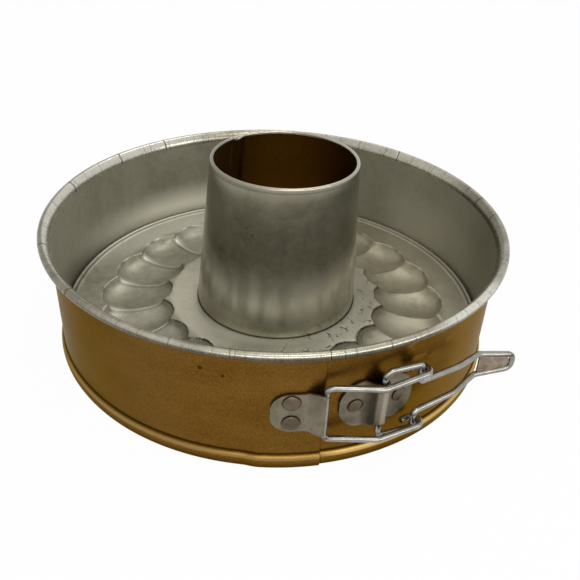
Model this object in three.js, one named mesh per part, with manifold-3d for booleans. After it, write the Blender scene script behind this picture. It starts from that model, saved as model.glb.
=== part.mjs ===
// Springform bundt pan: a lapped steel band with a toggle clasp, and a lift-out base with a centre tube.
// Millimetres, +Z up. The pan's axis is Z and it stands on z = 0. The clasp is at the front, -Y.
import * as THREE from "three";
import { mergeVertices } from "three/addons/utils/BufferGeometryUtils.js";
import Module from "manifold-3d";

const wasm = await Module();
wasm.setup();

// Fits
const GAP = 0.3;
const RUN_GAP = 0.5;

// Band
const INNER_R = 120;
const BAND_SHEET = 0.6;
const PAN_H = 70;
const RIM_R = 2.1;
const RIM_OUT = 6;
const FLARE_R = 6;
const FLARE_DEG = 45;
const BEAD_H = 8.8;
const BEAD_OUT = 1.7;
const LIP_IN = 3.4;
const LAP_DEG = 4;
const JOGGLE_DEG = 13;
const JOGGLE_RAMP_DEG = 4;
const BACK_GAP_DEG = 0.1;
const WALL_R = INNER_R + BAND_SHEET;
const LAP_STEP = BAND_SHEET + GAP;

// Base plate
const BASE_SHEET = 0.8;
const BASE_GAP = 1.2;
const BASE_TOP = 14;
const RING_TOP = 17;
const RIDGE_RISE = 1.5;
const RIDGE_FOOT_IN = 4.2;
const RIDGE_TOP_IN = 2.4;
const RIDGE_TOP_OUT = 0.7;
const FLUTES = 20;
const FLUTE_PHASE_DEG = 7.4;
const FLUTE_IN = 60;
const FLUTE_OUT = 100.5;
const FLUTE_DEPTH = 7.5;
const FLUTE_LAP = 1.4;
const BASE_R = INNER_R - BASE_GAP;

// Centre tube
const TUBE_SHEET = 0.7;
const TUBE_FOOT_R = 45.8;
const TUBE_TOP_R = 39.6;
const TUBE_TOP = 102.1;
const TUBE_HEM = 2;
const TUBE_FLANGE = 4;
const TUBE_FOOT_OFF = 1.3;
const TUBE_TOP_OFF = 3.8;
const TUBE_OFF_DEG = 79;

// Clasp: angles from the front towards +X, heights off the outside of the wall
const CLASP_Z = 35.3;
const WIRE_R = 1.5;
const PLATE = 1;
const LINK_HALF = 15.4;
const LINK_FRONT_HALF = 14.8;
const LINK_BEND_DEG = 11;
const LINK_BEND_H = 10;
const LINK_BEND_DROP = 0.5;
const ANCHOR_BAR_DEG = 0;
const ANCHOR_RISE = 0.6;
const SADDLE_BAR_DEG = 12.1;
const SADDLE_BAR_H = 4.6;
const CRANK_DEG = 20.2;
const CRANK_H = 6.6;
const HOOK_TAIL = 4;
const ANCHOR_LEN = 23.2;
const ANCHOR_HALF = 10.6;
const ANCHOR_CORNER = 8.6;
const CRADLE_LIP_DEG = 44;
const SADDLE_HALF_LEN = 18.3;
const SADDLE_HALF = 13;
const SADDLE_FLAT = 7;

// Lever
const LEG_LEN = 24.2;
const LEG_DEG = 20.6;
const LEG_HALF = 8.8;
const WAIST_HALF = 8.1;
const NECK_LEN = 16.4;
const NECK_DEG = 33;
const GRIP_LEN = 18.5;
const GRIP_DEG = 0;
const GRIP_HALF = 6.3;
const GRIP_TIP_HALF = 4.2;
const THUMB_SHEET = 1;

// Rivets
const SHANK_R = 1.7;
const ANCHOR_HEAD_R = 4.1;
const ANCHOR_HEAD_H = 1;
const ANCHOR_RIVET_DEG = -6.7;
const ANCHOR_RIVET_HALF = 5.7;
const SADDLE_HEAD_R = 3.4;
const SADDLE_HEAD_H = 0.8;
const SADDLE_RIVET_DEG = 5.2;
const TAIL_R = 3;
const TAIL_H = 0.5;

// Values that follow from the sizes above
const CRANK_HALF = LINK_HALF + 2 * WIRE_R + RUN_GAP;
const HOOK_R = 2 * WIRE_R + RUN_GAP;
const ANCHOR_FACE = LAP_STEP + GAP + PLATE;
const ANCHOR_BAR_H = ANCHOR_FACE + GAP + WIRE_R;
const SADDLE_FACE = GAP + PLATE;
const BASE_LOW = BAND_SHEET + GAP;

const rad = THREE.MathUtils.degToRad;

// Point at an angle from the front, a radius and a height
function polar(deg, r, z) {
  return new THREE.Vector3(r * Math.sin(rad(deg)), -r * Math.cos(rad(deg)), z);
}

// Angle spanned by a length along the outside of the wall
function arcDeg(length) {
  return THREE.MathUtils.radToDeg(length / WALL_R);
}

// Both faces of a sheet that follows a flat path, as one closed outline
function sheetOutline(path, thickness) {
  const left = [];
  const right = [];
  path.forEach((p, i) => {
    const before = path[Math.max(i - 1, 0)];
    const after = path[Math.min(i + 1, path.length - 1)];
    const a = p.clone().sub(before).normalize();
    const b = after.clone().sub(p).normalize();
    const along = a.add(b).normalize();
    const leg = (i === 0 ? after.clone().sub(p) : p.clone().sub(before)).normalize();
    const reach = thickness / 2 / Math.max(0.5, Math.abs(along.dot(leg)));
    const side = new THREE.Vector2(-along.y, along.x).multiplyScalar(reach);
    left.push(p.clone().add(side));
    right.push(p.clone().sub(side));
  });
  return left.concat(right.reverse());
}

// A closed body through rings of points, capped at both ends or joined into a loop
function loft(rings, looped, capOutline) {
  const count = rings[0].length;
  const positions = rings.flat().flatMap((p) => [p.x, p.y, p.z]);
  const index = [];
  const last = looped ? rings.length : rings.length - 1;
  for (let i = 0; i < last; i += 1) {
    const near = i * count;
    const far = ((i + 1) % rings.length) * count;
    for (let j = 0; j < count; j += 1) {
      const k = (j + 1) % count;
      index.push(near + j, near + k, far + k, near + j, far + k, far + j);
    }
  }
  if (!looped) {
    const caps = THREE.ShapeUtils.triangulateShape(capOutline, []);
    const end = (rings.length - 1) * count;
    const turn = THREE.ShapeUtils.isClockWise(capOutline) ? -1 : 1;
    caps.forEach(([a, b, c]) => {
      const front = turn > 0 ? [a, c, b] : [a, b, c];
      index.push(...front);
      index.push(...front.map((v) => v + end).reverse());
    });
  }
  return facingOut(positions, index);
}

// Geometry with its faces turned outward
function facingOut(positions, index) {
  const at = (i) => new THREE.Vector3().fromArray(positions, 3 * i);
  let volume = 0;
  for (let i = 0; i < index.length; i += 3) {
    volume += at(index[i]).dot(at(index[i + 1]).cross(at(index[i + 2])));
  }
  const geometry = new THREE.BufferGeometry();
  geometry.setAttribute("position", new THREE.Float32BufferAttribute(positions, 3));
  geometry.setIndex(volume > 0 ? index : index.slice().reverse());
  return geometry;
}

// The same faces with shared corners and no slivers, turned outward
function welded(geometry) {
  const bare = new THREE.BufferGeometry();
  bare.setAttribute("position", geometry.getAttribute("position"));
  bare.setIndex(geometry.getIndex());
  const merged = mergeVertices(bare, 1e-4);
  const all = Array.from(merged.getIndex().array);
  const index = [];
  for (let i = 0; i < all.length; i += 3) {
    const [a, b, c] = all.slice(i, i + 3);
    if (a !== b && b !== c && c !== a) index.push(a, b, c);
  }
  return facingOut(Array.from(merged.getAttribute("position").array), index);
}

function toManifold(geometry) {
  const closed = welded(geometry);
  return new wasm.Manifold(
    new wasm.Mesh({
      numProp: 3,
      vertProperties: new Float32Array(closed.getAttribute("position").array),
      triVerts: new Uint32Array(closed.getIndex().array),
    }),
  );
}

function toGeometry(manifold) {
  const mesh = manifold.getMesh();
  const geometry = new THREE.BufferGeometry();
  geometry.setAttribute("position", new THREE.Float32BufferAttribute(mesh.vertProperties, 3));
  geometry.setIndex(Array.from(mesh.triVerts));
  return geometry;
}

function cut(geometry, tools) {
  return toGeometry(tools.reduce((body, tool) => body.subtract(toManifold(tool)), toManifold(geometry)));
}

function join(a, b) {
  return toGeometry(toManifold(a).add(toManifold(b)));
}

// An outline of radius and height swept round the pan's axis through a list of angles
function sweepBand(outline, angles, shift) {
  const rings = angles.map((deg) => outline.map((p) => polar(deg, p.x + shift(deg), p.y)));
  return loft(rings, false, outline);
}

function angleSteps(from, to, step) {
  const count = Math.max(1, Math.round(Math.abs(to - from) / step));
  return Array.from({ length: count + 1 }, (_, i) => from + ((to - from) * i) / count);
}

// A round wire through corner points, each corner rounded to its own radius
function wire(corners, radii, sides) {
  const line = [corners[0]];
  for (let i = 1; i < corners.length - 1; i += 1) {
    if (radii[i] === 0) {
      line.push(corners[i]);
      continue;
    }
    const toward = corners[i - 1].clone().sub(corners[i]).normalize();
    const away = corners[i + 1].clone().sub(corners[i]).normalize();
    const half = Math.acos(THREE.MathUtils.clamp(-toward.dot(away), -1, 1)) / 2;
    const reach = radii[i] * Math.tan(half);
    const start = corners[i].clone().addScaledVector(toward, reach);
    const middle = toward.clone().add(away).normalize();
    const centre = corners[i].clone().addScaledVector(middle, radii[i] / Math.cos(half));
    const axis = new THREE.Vector3().crossVectors(toward, away).normalize();
    const steps = Math.max(2, Math.round((2 * half) / rad(24)));
    for (let k = 0; k <= steps; k += 1) {
      const spoke = start.clone().sub(centre).applyAxisAngle(axis, (-2 * half * k) / steps);
      line.push(centre.clone().add(spoke));
    }
  }
  line.push(corners[corners.length - 1]);
  return tubeAlong(line, sides);
}

// A round bar of the wire's radius along a dense line of points
function tubeAlong(line, sides) {
  const outline = Array.from({ length: sides }, (_, i) => {
    const turn = (2 * Math.PI * i) / sides;
    return new THREE.Vector2(Math.cos(turn), Math.sin(turn)).multiplyScalar(WIRE_R);
  });
  const first = line[1].clone().sub(line[0]).normalize();
  let across = new THREE.Vector3(0, 0, 1);
  if (Math.abs(first.z) > 0.9) across.set(1, 0, 0);
  across.cross(first).normalize();
  const rings = line.map((p, i) => {
    const before = line[Math.max(i - 1, 0)];
    const after = line[Math.min(i + 1, line.length - 1)];
    const into = p.clone().sub(before).normalize();
    const out = after.clone().sub(p).normalize();
    const along = into.clone().add(out).normalize();
    across.addScaledVector(along, -across.dot(along)).normalize();
    const up = new THREE.Vector3().crossVectors(along, across);
    const lean = Math.max(0.5, Math.abs(along.dot(i === 0 ? out : into)));
    const bend = out.clone().sub(into);
    bend.addScaledVector(along, -bend.dot(along));
    const stretch = i === 0 || i === line.length - 1 || bend.length() < 1e-6 ? 0 : 1 / lean - 1;
    const side = bend.normalize();
    return outline.map((q) => {
      const spoke = across.clone().multiplyScalar(q.x).addScaledVector(up, q.y);
      return p.clone().add(spoke).addScaledVector(side, stretch * spoke.dot(side));
    });
  });
  return loft(rings, false, outline);
}

// A plate bent along the wall: stations of arc length and height off the wall, with a half height at each
function bentPlate(path, halfAt) {
  const outline = sheetOutline(path, PLATE);
  const count = path.length;
  const rings = path.map((_, i) => {
    const half = halfAt(path[i].x);
    const inner = outline[2 * count - 1 - i];
    const outer = outline[i];
    return [
      polar(arcDeg(inner.x), WALL_R + inner.y, CLASP_Z - half),
      polar(arcDeg(outer.x), WALL_R + outer.y, CLASP_Z - half),
      polar(arcDeg(outer.x), WALL_R + outer.y, CLASP_Z + half),
      polar(arcDeg(inner.x), WALL_R + inner.y, CLASP_Z + half),
    ];
  });
  const square = [[0, 0], [1, 0], [1, 1], [0, 1]].map(([x, y]) => new THREE.Vector2(x, y));
  return loft(rings, false, square);
}

// A body turned about a radial axis through the wall: points of radius and distance from the pan's axis
function radialTurning(points, deg, z, sides) {
  const geometry = new THREE.LatheGeometry(points, sides);
  geometry.rotateZ(Math.PI + rad(deg));
  geometry.translate(0, 0, z);
  return welded(geometry);
}

function radialHole(deg, z) {
  const span = [INNER_R - 8, WALL_R + 12];
  const r = SHANK_R + GAP;
  const points = [
    new THREE.Vector2(0, span[0]),
    new THREE.Vector2(r, span[0]),
    new THREE.Vector2(r, span[1]),
    new THREE.Vector2(0, span[1]),
  ];
  return radialTurning(points, deg, z, 12);
}

// A rivet from its tail inside the pan to its domed head outside
function rivet(deg, z, face, innerFace, headR, headH) {
  const seat = WALL_R + face + GAP;
  const tail = innerFace - GAP - TAIL_H;
  const points = [
    new THREE.Vector2(0, tail),
    new THREE.Vector2(TAIL_R, tail),
    new THREE.Vector2(TAIL_R, tail + TAIL_H),
    new THREE.Vector2(SHANK_R, tail + TAIL_H),
    new THREE.Vector2(SHANK_R, seat),
    new THREE.Vector2(headR, seat),
    new THREE.Vector2(headR * 0.9, seat + headH * 0.5),
    new THREE.Vector2(headR * 0.55, seat + headH * 0.88),
    new THREE.Vector2(0, seat + headH),
  ];
  return radialTurning(points, deg, z, 14);
}

// Band section: lip, foot bead, wall, flare and rolled rim, as the middle line of the sheet
const bandLine = [];
const wallMid = INNER_R + BAND_SHEET / 2;
bandLine.push(new THREE.Vector2(INNER_R - LIP_IN, BAND_SHEET / 2));
bandLine.push(new THREE.Vector2(wallMid - 0.6, BAND_SHEET / 2));
bandLine.push(new THREE.Vector2(wallMid + BEAD_OUT * 0.7, BEAD_H * 0.2));
bandLine.push(new THREE.Vector2(wallMid + BEAD_OUT, BEAD_H * 0.48));
bandLine.push(new THREE.Vector2(wallMid + BEAD_OUT * 0.75, BEAD_H * 0.78));
bandLine.push(new THREE.Vector2(wallMid, BEAD_H));

function spokeAt(deg, r) {
  return new THREE.Vector2(Math.cos(rad(deg)), Math.sin(rad(deg))).multiplyScalar(r);
}
const rollMid = RIM_R - BAND_SHEET / 2;
const rollCentre = new THREE.Vector2(INNER_R + RIM_OUT - RIM_R, PAN_H - RIM_R);
const rollStart = spokeAt(90 + FLARE_DEG, rollMid).add(rollCentre);
const flareEnd = spokeAt(180 - FLARE_DEG, FLARE_R).add(new THREE.Vector2(wallMid + FLARE_R, 0));
const flareLow = rollStart.y - (rollStart.x - flareEnd.x) / Math.tan(rad(FLARE_DEG)) - flareEnd.y;
const flareCentre = new THREE.Vector2(wallMid + FLARE_R, flareLow);
angleSteps(180, 180 - FLARE_DEG, 22.5).forEach((deg) => {
  bandLine.push(spokeAt(deg, FLARE_R).add(flareCentre));
});
angleSteps(90 + FLARE_DEG, -120, 42.5).forEach((deg) => {
  bandLine.push(spokeAt(deg, rollMid).add(rollCentre));
});
const bandOutline = sheetOutline(bandLine, BAND_SHEET);

// The left end steps outward so that it laps over the right end
function lapShift(deg) {
  const into = (deg + JOGGLE_DEG + JOGGLE_RAMP_DEG) / JOGGLE_RAMP_DEG;
  return LAP_STEP * THREE.MathUtils.smoothstep(into, 0, 1);
}

const anchorZ = CLASP_Z + ANCHOR_RISE;
const rivetHeights = [anchorZ + ANCHOR_RIVET_HALF, anchorZ - ANCHOR_RIVET_HALF];
const saddleDegs = [SADDLE_BAR_DEG - SADDLE_RIVET_DEG, SADDLE_BAR_DEG + SADDLE_RIVET_DEG];

const leftAngles = [
  ...angleSteps(-180 + BACK_GAP_DEG, -JOGGLE_DEG - JOGGLE_RAMP_DEG, 6),
  ...angleSteps(-JOGGLE_DEG - JOGGLE_RAMP_DEG, -JOGGLE_DEG, 2).slice(1),
  ...angleSteps(-JOGGLE_DEG, 0, 3.25).slice(1),
];
const bandLeft = cut(
  sweepBand(bandOutline, leftAngles, lapShift),
  rivetHeights.map((z) => radialHole(ANCHOR_RIVET_DEG, z)),
);

// The right end runs on as a plain tongue behind the left end
const tongueLine = [
  new THREE.Vector2(wallMid, BEAD_H + GAP),
  new THREE.Vector2(wallMid, flareLow - 1),
];
const buttDeg = arcDeg(GAP);
const bandRight = cut(
  join(
    sweepBand(bandOutline, angleSteps(buttDeg, 180 - BACK_GAP_DEG, 6), () => 0),
    sweepBand(sheetOutline(tongueLine, BAND_SHEET), [-LAP_DEG, buttDeg, buttDeg + 0.5], () => 0),
  ),
  saddleDegs.map((deg) => radialHole(deg, CLASP_Z)),
);

// Base plate: rows from the tube's hole to the foot of the skirt, as the middle line of the sheet
const holeR = TUBE_FOOT_R + GAP;
const flat = BASE_TOP - BASE_SHEET / 2;
const skirtR = BASE_R - BASE_SHEET / 2;
const ringMid = RING_TOP - BASE_SHEET / 2;
const fluteSpan = FLUTE_OUT - FLUTE_IN;
const fluteRows = [-0.02, 0.03, 0.1, 0.24, 0.5, 0.76, 0.9, 0.97, 1.02];
const baseLine = [
  new THREE.Vector2(holeR, ringMid),
  ...fluteRows.map((t) => {
    return new THREE.Vector2(FLUTE_IN + fluteSpan * t, THREE.MathUtils.lerp(ringMid, flat, t));
  }),
  new THREE.Vector2(skirtR - RIDGE_FOOT_IN, flat),
  new THREE.Vector2(skirtR - RIDGE_TOP_IN, flat + RIDGE_RISE),
  new THREE.Vector2(skirtR - RIDGE_TOP_OUT, flat + RIDGE_RISE),
  new THREE.Vector2(skirtR, flat),
  new THREE.Vector2(skirtR, BASE_LOW),
];
const baseOutline = sheetOutline(baseLine, BASE_SHEET);
const footOff = polar(TUBE_OFF_DEG, TUBE_FOOT_OFF, 0);

// Depth of the sunk flutes: overlapping dishes with rounded ends and a sharp crest between neighbours
function fluteDepth(r, turn) {
  const along = (r - (FLUTE_IN + FLUTE_OUT) / 2) / ((FLUTE_OUT - FLUTE_IN) / 2);
  const across = (turn - Math.round(turn)) * (2 / FLUTE_LAP);
  const inside = 1 - Math.abs(along) ** 2.4 - across ** 2;
  return inside > 0 ? FLUTE_DEPTH * Math.sqrt(inside) : 0;
}

const baseColumns = FLUTES * 4;
const baseRings = Array.from({ length: baseColumns }, (_, i) => {
  const deg = FLUTE_PHASE_DEG + (360 * i) / baseColumns;
  return baseOutline.map((p, j) => {
    const at = j < baseLine.length ? j : 2 * baseLine.length - 1 - j;
    const point = polar(deg, p.x, p.y - fluteDepth(baseLine[at].x, i / 4));
    return at === 0 ? point.add(footOff) : point;
  });
});
const basePlate = loft(baseRings, true, baseOutline);

// Centre tube: flange under the base plate, a cone set slightly off centre, and a hem turned in at the top
const tubeMid = TUBE_SHEET / 2;
const flangeZ = RING_TOP - BASE_SHEET - GAP - tubeMid;
const hemR = TUBE_HEM / 2;
const hemCentre = new THREE.Vector2(TUBE_TOP_R - hemR, TUBE_TOP - hemR);
const tubeLine = [
  new THREE.Vector2(TUBE_FOOT_R + TUBE_FLANGE, flangeZ),
  new THREE.Vector2(TUBE_FOOT_R, flangeZ),
  new THREE.Vector2(TUBE_FOOT_R - tubeMid, flangeZ + 1.2),
  new THREE.Vector2(TUBE_FOOT_R - tubeMid, RING_TOP + 1),
];
angleSteps(0, 220, 44).forEach((deg) => {
  const spoke = new THREE.Vector2(Math.cos(rad(deg)), Math.sin(rad(deg))).multiplyScalar(hemR - tubeMid);
  tubeLine.push(spoke.add(hemCentre));
});
const tubeOutline = sheetOutline(tubeLine, TUBE_SHEET);
const topOff = polar(TUBE_OFF_DEG, TUBE_TOP_OFF, 0);
const tubeRings = angleSteps(0, 360, 9).slice(1).map((deg) =>
  tubeOutline.map((p) => {
    const up = Math.max(0, (p.y - RING_TOP - 1) / (TUBE_TOP - RING_TOP - 1));
    return polar(deg, p.x, p.y).add(footOff.clone().lerp(topOff, up));
  }),
);
const centreTube = loft(tubeRings, true, tubeOutline);

// Pivot lines of the clasp in plan
const barAnchor = polar(ANCHOR_BAR_DEG, WALL_R + ANCHOR_BAR_H, CLASP_Z);
const barSaddle = polar(SADDLE_BAR_DEG, WALL_R + SADDLE_BAR_H, CLASP_Z);
const crank = polar(CRANK_DEG, WALL_R + CRANK_H, CLASP_Z);
const linkBend = polar(LINK_BEND_DEG, WALL_R + LINK_BEND_H, CLASP_Z);

function atHeight(p, dz) {
  return new THREE.Vector3(p.x, p.y, CLASP_Z + dz);
}

// Anchor plate: rounded at the left, turned up into a cradle under the link's bar at the right
const anchorEnd = rad(ANCHOR_BAR_DEG) * WALL_R;
const cradleR = WIRE_R + GAP + PLATE / 2;
const anchorMid = ANCHOR_FACE - PLATE / 2;
const anchorLeft = anchorEnd - ANCHOR_LEN;
const anchorPath = [0, 0.12, 0.4, 1].map((t) => new THREE.Vector2(anchorLeft + ANCHOR_CORNER * t, anchorMid));
anchorPath.push(new THREE.Vector2(anchorEnd - 6, anchorMid));
angleSteps(-90, CRADLE_LIP_DEG - 90, 15).forEach((deg) => {
  const spoke = new THREE.Vector2(Math.cos(rad(deg)), Math.sin(rad(deg))).multiplyScalar(cradleR);
  anchorPath.push(spoke.add(new THREE.Vector2(anchorEnd, ANCHOR_BAR_H)));
});
function anchorHalf(s) {
  const into = THREE.MathUtils.clamp((s - anchorLeft) / ANCHOR_CORNER, 0, 1);
  return ANCHOR_HALF - ANCHOR_CORNER * (1 - Math.sqrt(1 - (1 - into) ** 2));
}
const anchorPlate = cut(
  bentPlate(anchorPath, anchorHalf),
  rivetHeights.map((z) => radialHole(ANCHOR_RIVET_DEG, z)),
);

// Saddle plate: an oval with a hump over the lever's cross bar
const saddleMid = rad(SADDLE_BAR_DEG) * WALL_R;
const saddleLow = SADDLE_FACE - PLATE / 2;
const humpR = WIRE_R + RUN_GAP + PLATE / 2;
const earFractions = [1, 0.88, 0.6, 0];
const saddlePath = [];
earFractions.forEach((t) => {
  const reach = SADDLE_FLAT + (SADDLE_HALF_LEN - SADDLE_FLAT) * t;
  saddlePath.push(new THREE.Vector2(saddleMid - reach, saddleLow));
});
angleSteps(140, -5, 29).forEach((deg) => {
  const spoke = new THREE.Vector2(Math.cos(rad(deg)), Math.sin(rad(deg))).multiplyScalar(humpR);
  saddlePath.push(spoke.add(new THREE.Vector2(saddleMid, SADDLE_BAR_H)));
});
saddlePath.push(new THREE.Vector2(saddleMid + humpR + 1.2, saddleLow));
earFractions.slice().reverse().forEach((t) => {
  const reach = SADDLE_FLAT + (SADDLE_HALF_LEN - SADDLE_FLAT) * t;
  saddlePath.push(new THREE.Vector2(saddleMid + reach, saddleLow));
});
function saddleHalf(s) {
  const along = (Math.abs(s - saddleMid) - SADDLE_FLAT) / (SADDLE_HALF_LEN - SADDLE_FLAT);
  const into = THREE.MathUtils.clamp(along, 0, 1);
  return SADDLE_HALF * Math.sqrt(1 - (0.97 * into) ** 2);
}
const saddlePlate = cut(
  bentPlate(saddlePath, saddleHalf),
  saddleDegs.map((deg) => radialHole(deg, CLASP_Z)),
);

// Link: bar in the cradle, two arms over the hump, a hook round each crank of the lever
const linkRun = crank.clone().sub(linkBend).normalize();
const linkOut = new THREE.Vector3(linkRun.y, -linkRun.x, 0);
function hookLine(dz) {
  const points = [];
  angleSteps(0, 180, 30).forEach((deg) => {
    const p = crank.clone();
    p.addScaledVector(linkOut, HOOK_R * Math.cos(rad(deg)));
    p.addScaledVector(linkRun, HOOK_R * Math.sin(rad(deg)));
    points.push(atHeight(p, dz));
  });
  const tail = crank.clone().addScaledVector(linkOut, -HOOK_R).addScaledVector(linkRun, -HOOK_TAIL);
  points.push(atHeight(tail, dz));
  return points;
}
const linkTop = hookLine(LINK_HALF).reverse();
const linkLow = hookLine(-LINK_HALF);
const linkMiddle = [
  atHeight(linkBend, LINK_FRONT_HALF - LINK_BEND_DROP),
  atHeight(barAnchor, ANCHOR_RISE + LINK_FRONT_HALF),
  atHeight(barAnchor, ANCHOR_RISE - LINK_FRONT_HALF),
  atHeight(linkBend, -LINK_FRONT_HALF - LINK_BEND_DROP),
];
const linkCorners = [...linkTop, ...linkMiddle, ...linkLow];
const linkRadii = linkCorners.map((_, i) => {
  const middle = i - linkTop.length;
  if (middle < 0 || middle >= linkMiddle.length) return 0;
  return middle === 0 || middle === 3 ? 5 : 3.2;
});
const linkWire = wire(linkCorners, linkRadii, 8);

// Lever: cross bar, strands out to the cranks, legs that close in to a neck, and a grip loop bent outward
function heading(deg) {
  return new THREE.Vector3(Math.cos(rad(deg)), Math.sin(rad(deg)), 0);
}
const gripRun = heading(GRIP_DEG);
const waist = crank.clone().addScaledVector(heading(LEG_DEG), LEG_LEN);
const gripStart = waist.clone().addScaledVector(heading(NECK_DEG), NECK_LEN);
const gripTip = gripStart.clone().addScaledVector(gripRun, GRIP_LEN);
const leverHalf = [
  { at: barSaddle, half: CRANK_HALF, r: 4 },
  { at: crank, half: CRANK_HALF, r: 2 },
  { at: crank, half: LEG_HALF, r: 2 },
  { at: waist, half: WAIST_HALF, r: 10 },
  { at: gripStart, half: GRIP_HALF, r: 7 },
  { at: gripTip, half: GRIP_TIP_HALF, r: 4 },
];
const leverCorners = [
  { at: barSaddle, half: GAP / 2, r: 0 },
  ...leverHalf,
  ...leverHalf.slice().reverse().map((c) => ({ ...c, half: -c.half })),
  { at: barSaddle, half: -GAP / 2, r: 0 },
];
const leverWire = wire(
  leverCorners.map((c) => atHeight(c.at, c.half)),
  leverCorners.map((c) => c.r),
  8,
);

// Thumb plate inside the grip loop
const thumbIn = WIRE_R + GAP;
const thumbEnd = GRIP_LEN - thumbIn;
const thumbHalf = GRIP_TIP_HALF - thumbIn;
const thumbCorner = thumbHalf - 0.2;
const thumbOutline = [
  new THREE.Vector2(1, -GRIP_HALF + thumbIn),
  new THREE.Vector2(thumbEnd - thumbCorner, -thumbHalf - 0.1),
  new THREE.Vector2(thumbEnd - 0.3 * thumbCorner, -thumbHalf + 0.27 * thumbCorner),
  new THREE.Vector2(thumbEnd, -thumbHalf + thumbCorner),
  new THREE.Vector2(thumbEnd, thumbHalf - thumbCorner),
  new THREE.Vector2(thumbEnd - 0.3 * thumbCorner, thumbHalf - 0.27 * thumbCorner),
  new THREE.Vector2(thumbEnd - thumbCorner, thumbHalf + 0.1),
  new THREE.Vector2(1, GRIP_HALF - thumbIn),
];
const gripOut = new THREE.Vector3(gripRun.y, -gripRun.x, 0);
const thumbRings = [-THUMB_SHEET / 2, THUMB_SHEET / 2].map((off) =>
  thumbOutline.map((q) => {
    const p = gripStart.clone().addScaledVector(gripRun, q.x).addScaledVector(gripOut, off);
    return atHeight(p, q.y);
  }),
);
const thumbPlate = loft(thumbRings, false, thumbOutline);

// Assembly
const pan = new THREE.Group();
pan.name = "springform_bundt_pan";

function addPiece(name, geometry, color, roughness, metalness) {
  geometry.computeVertexNormals();
  const mesh = new THREE.Mesh(geometry, new THREE.MeshStandardMaterial({ color, roughness, metalness }));
  mesh.name = name;
  pan.add(mesh);
}

const GOLD = 0x8a6224;
const TIN = 0xa8a694;
const PLATED = 0xb9b6ac;
const DULL = 0x8f8879;

addPiece("band_left", bandLeft, GOLD, 0.38, 0.75);
addPiece("band_right", bandRight, GOLD, 0.38, 0.75);
addPiece("base_plate", basePlate, TIN, 0.42, 0.9);
addPiece("centre_tube", centreTube, TIN, 0.45, 0.9);
addPiece("anchor_plate", anchorPlate, DULL, 0.5, 0.8);
addPiece("saddle_plate", saddlePlate, DULL, 0.5, 0.8);
rivetHeights.forEach((z, i) => {
  const body = rivet(ANCHOR_RIVET_DEG, z, ANCHOR_FACE, INNER_R + LAP_STEP, ANCHOR_HEAD_R, ANCHOR_HEAD_H);
  addPiece(i === 0 ? "anchor_rivet_upper" : "anchor_rivet_lower", body, DULL, 0.4, 0.85);
});
saddleDegs.forEach((deg, i) => {
  const body = rivet(deg, CLASP_Z, SADDLE_FACE, INNER_R, SADDLE_HEAD_R, SADDLE_HEAD_H);
  addPiece(i === 0 ? "saddle_rivet_left" : "saddle_rivet_right", body, DULL, 0.4, 0.85);
});
addPiece("link_wire", linkWire, PLATED, 0.3, 0.95);
addPiece("lever_wire", leverWire, PLATED, 0.3, 0.95);
addPiece("thumb_plate", thumbPlate, DULL, 0.6, 0.7);

export default pan;
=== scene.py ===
# %% [markdown]
# # A springform bundt pan
# This pan is a lapped steel band with a toggle clasp, and a fluted base with a tall tube that drops
# into it. The solids are already packed with their joints. Here each of them gets a finer skin and a
# finish like the one in the photograph. Lengths are written in millimetres and turned into metres when
# a mesh is made.

# %% Load the frame
import math

import bpy
import numpy as np
from mathutils import Matrix, Vector


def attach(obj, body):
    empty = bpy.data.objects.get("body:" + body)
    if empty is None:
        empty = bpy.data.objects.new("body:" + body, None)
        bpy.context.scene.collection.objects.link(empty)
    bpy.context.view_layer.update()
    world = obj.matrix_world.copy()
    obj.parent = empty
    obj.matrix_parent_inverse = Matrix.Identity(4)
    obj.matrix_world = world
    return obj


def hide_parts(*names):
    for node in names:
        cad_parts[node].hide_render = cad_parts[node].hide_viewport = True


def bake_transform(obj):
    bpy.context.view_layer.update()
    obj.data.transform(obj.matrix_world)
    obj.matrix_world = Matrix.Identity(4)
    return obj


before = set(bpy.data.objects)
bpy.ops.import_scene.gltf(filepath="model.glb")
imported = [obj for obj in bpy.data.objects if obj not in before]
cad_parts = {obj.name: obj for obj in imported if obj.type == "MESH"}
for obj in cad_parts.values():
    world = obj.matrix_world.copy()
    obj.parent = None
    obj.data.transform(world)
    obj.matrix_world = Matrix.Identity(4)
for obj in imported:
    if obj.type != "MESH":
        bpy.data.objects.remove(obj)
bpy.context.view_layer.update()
scene = bpy.context.scene

# %% [markdown]
# ## The camera
# The rim, the foot and the tube are circles, so the ellipses that they make in the picture fix the
# camera. It looks down at about 34 degrees from close by, which is why the near side of the band looks
# so deep. A camera's own axes are right, up and backwards, and they are the columns of its turning
# matrix.

# %% Camera
lens = bpy.data.cameras.new("photo_camera")
lens.sensor_fit = "HORIZONTAL"
lens.sensor_width = 36.0
lens.lens = 42.705
lens.clip_start = 0.01
camera = bpy.data.objects.new("photo_camera", lens)
right = Vector((0.98030, -0.19299, 0.04195))
forward = Vector((0.18360, 0.81227, -0.55362))
upward = right.cross(forward).normalized()
turn = Matrix((right, upward, -forward)).transposed().to_4x4()
camera.matrix_world = Matrix.Translation((-0.06548, -0.33376, 0.24438)) @ turn
scene.collection.objects.link(camera)
scene.camera = camera
print("camera at", [round(v, 3) for v in camera.location])

# %% [markdown]
# ## Shader sums
# A finish is a sum of small patterns. Writing each Math node by hand hides the idea, so a signal wraps
# a socket and knows how to add, multiply and so on. A mask is a signal between 0 and 1, and a colour
# takes another colour over it by a mask.

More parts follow.
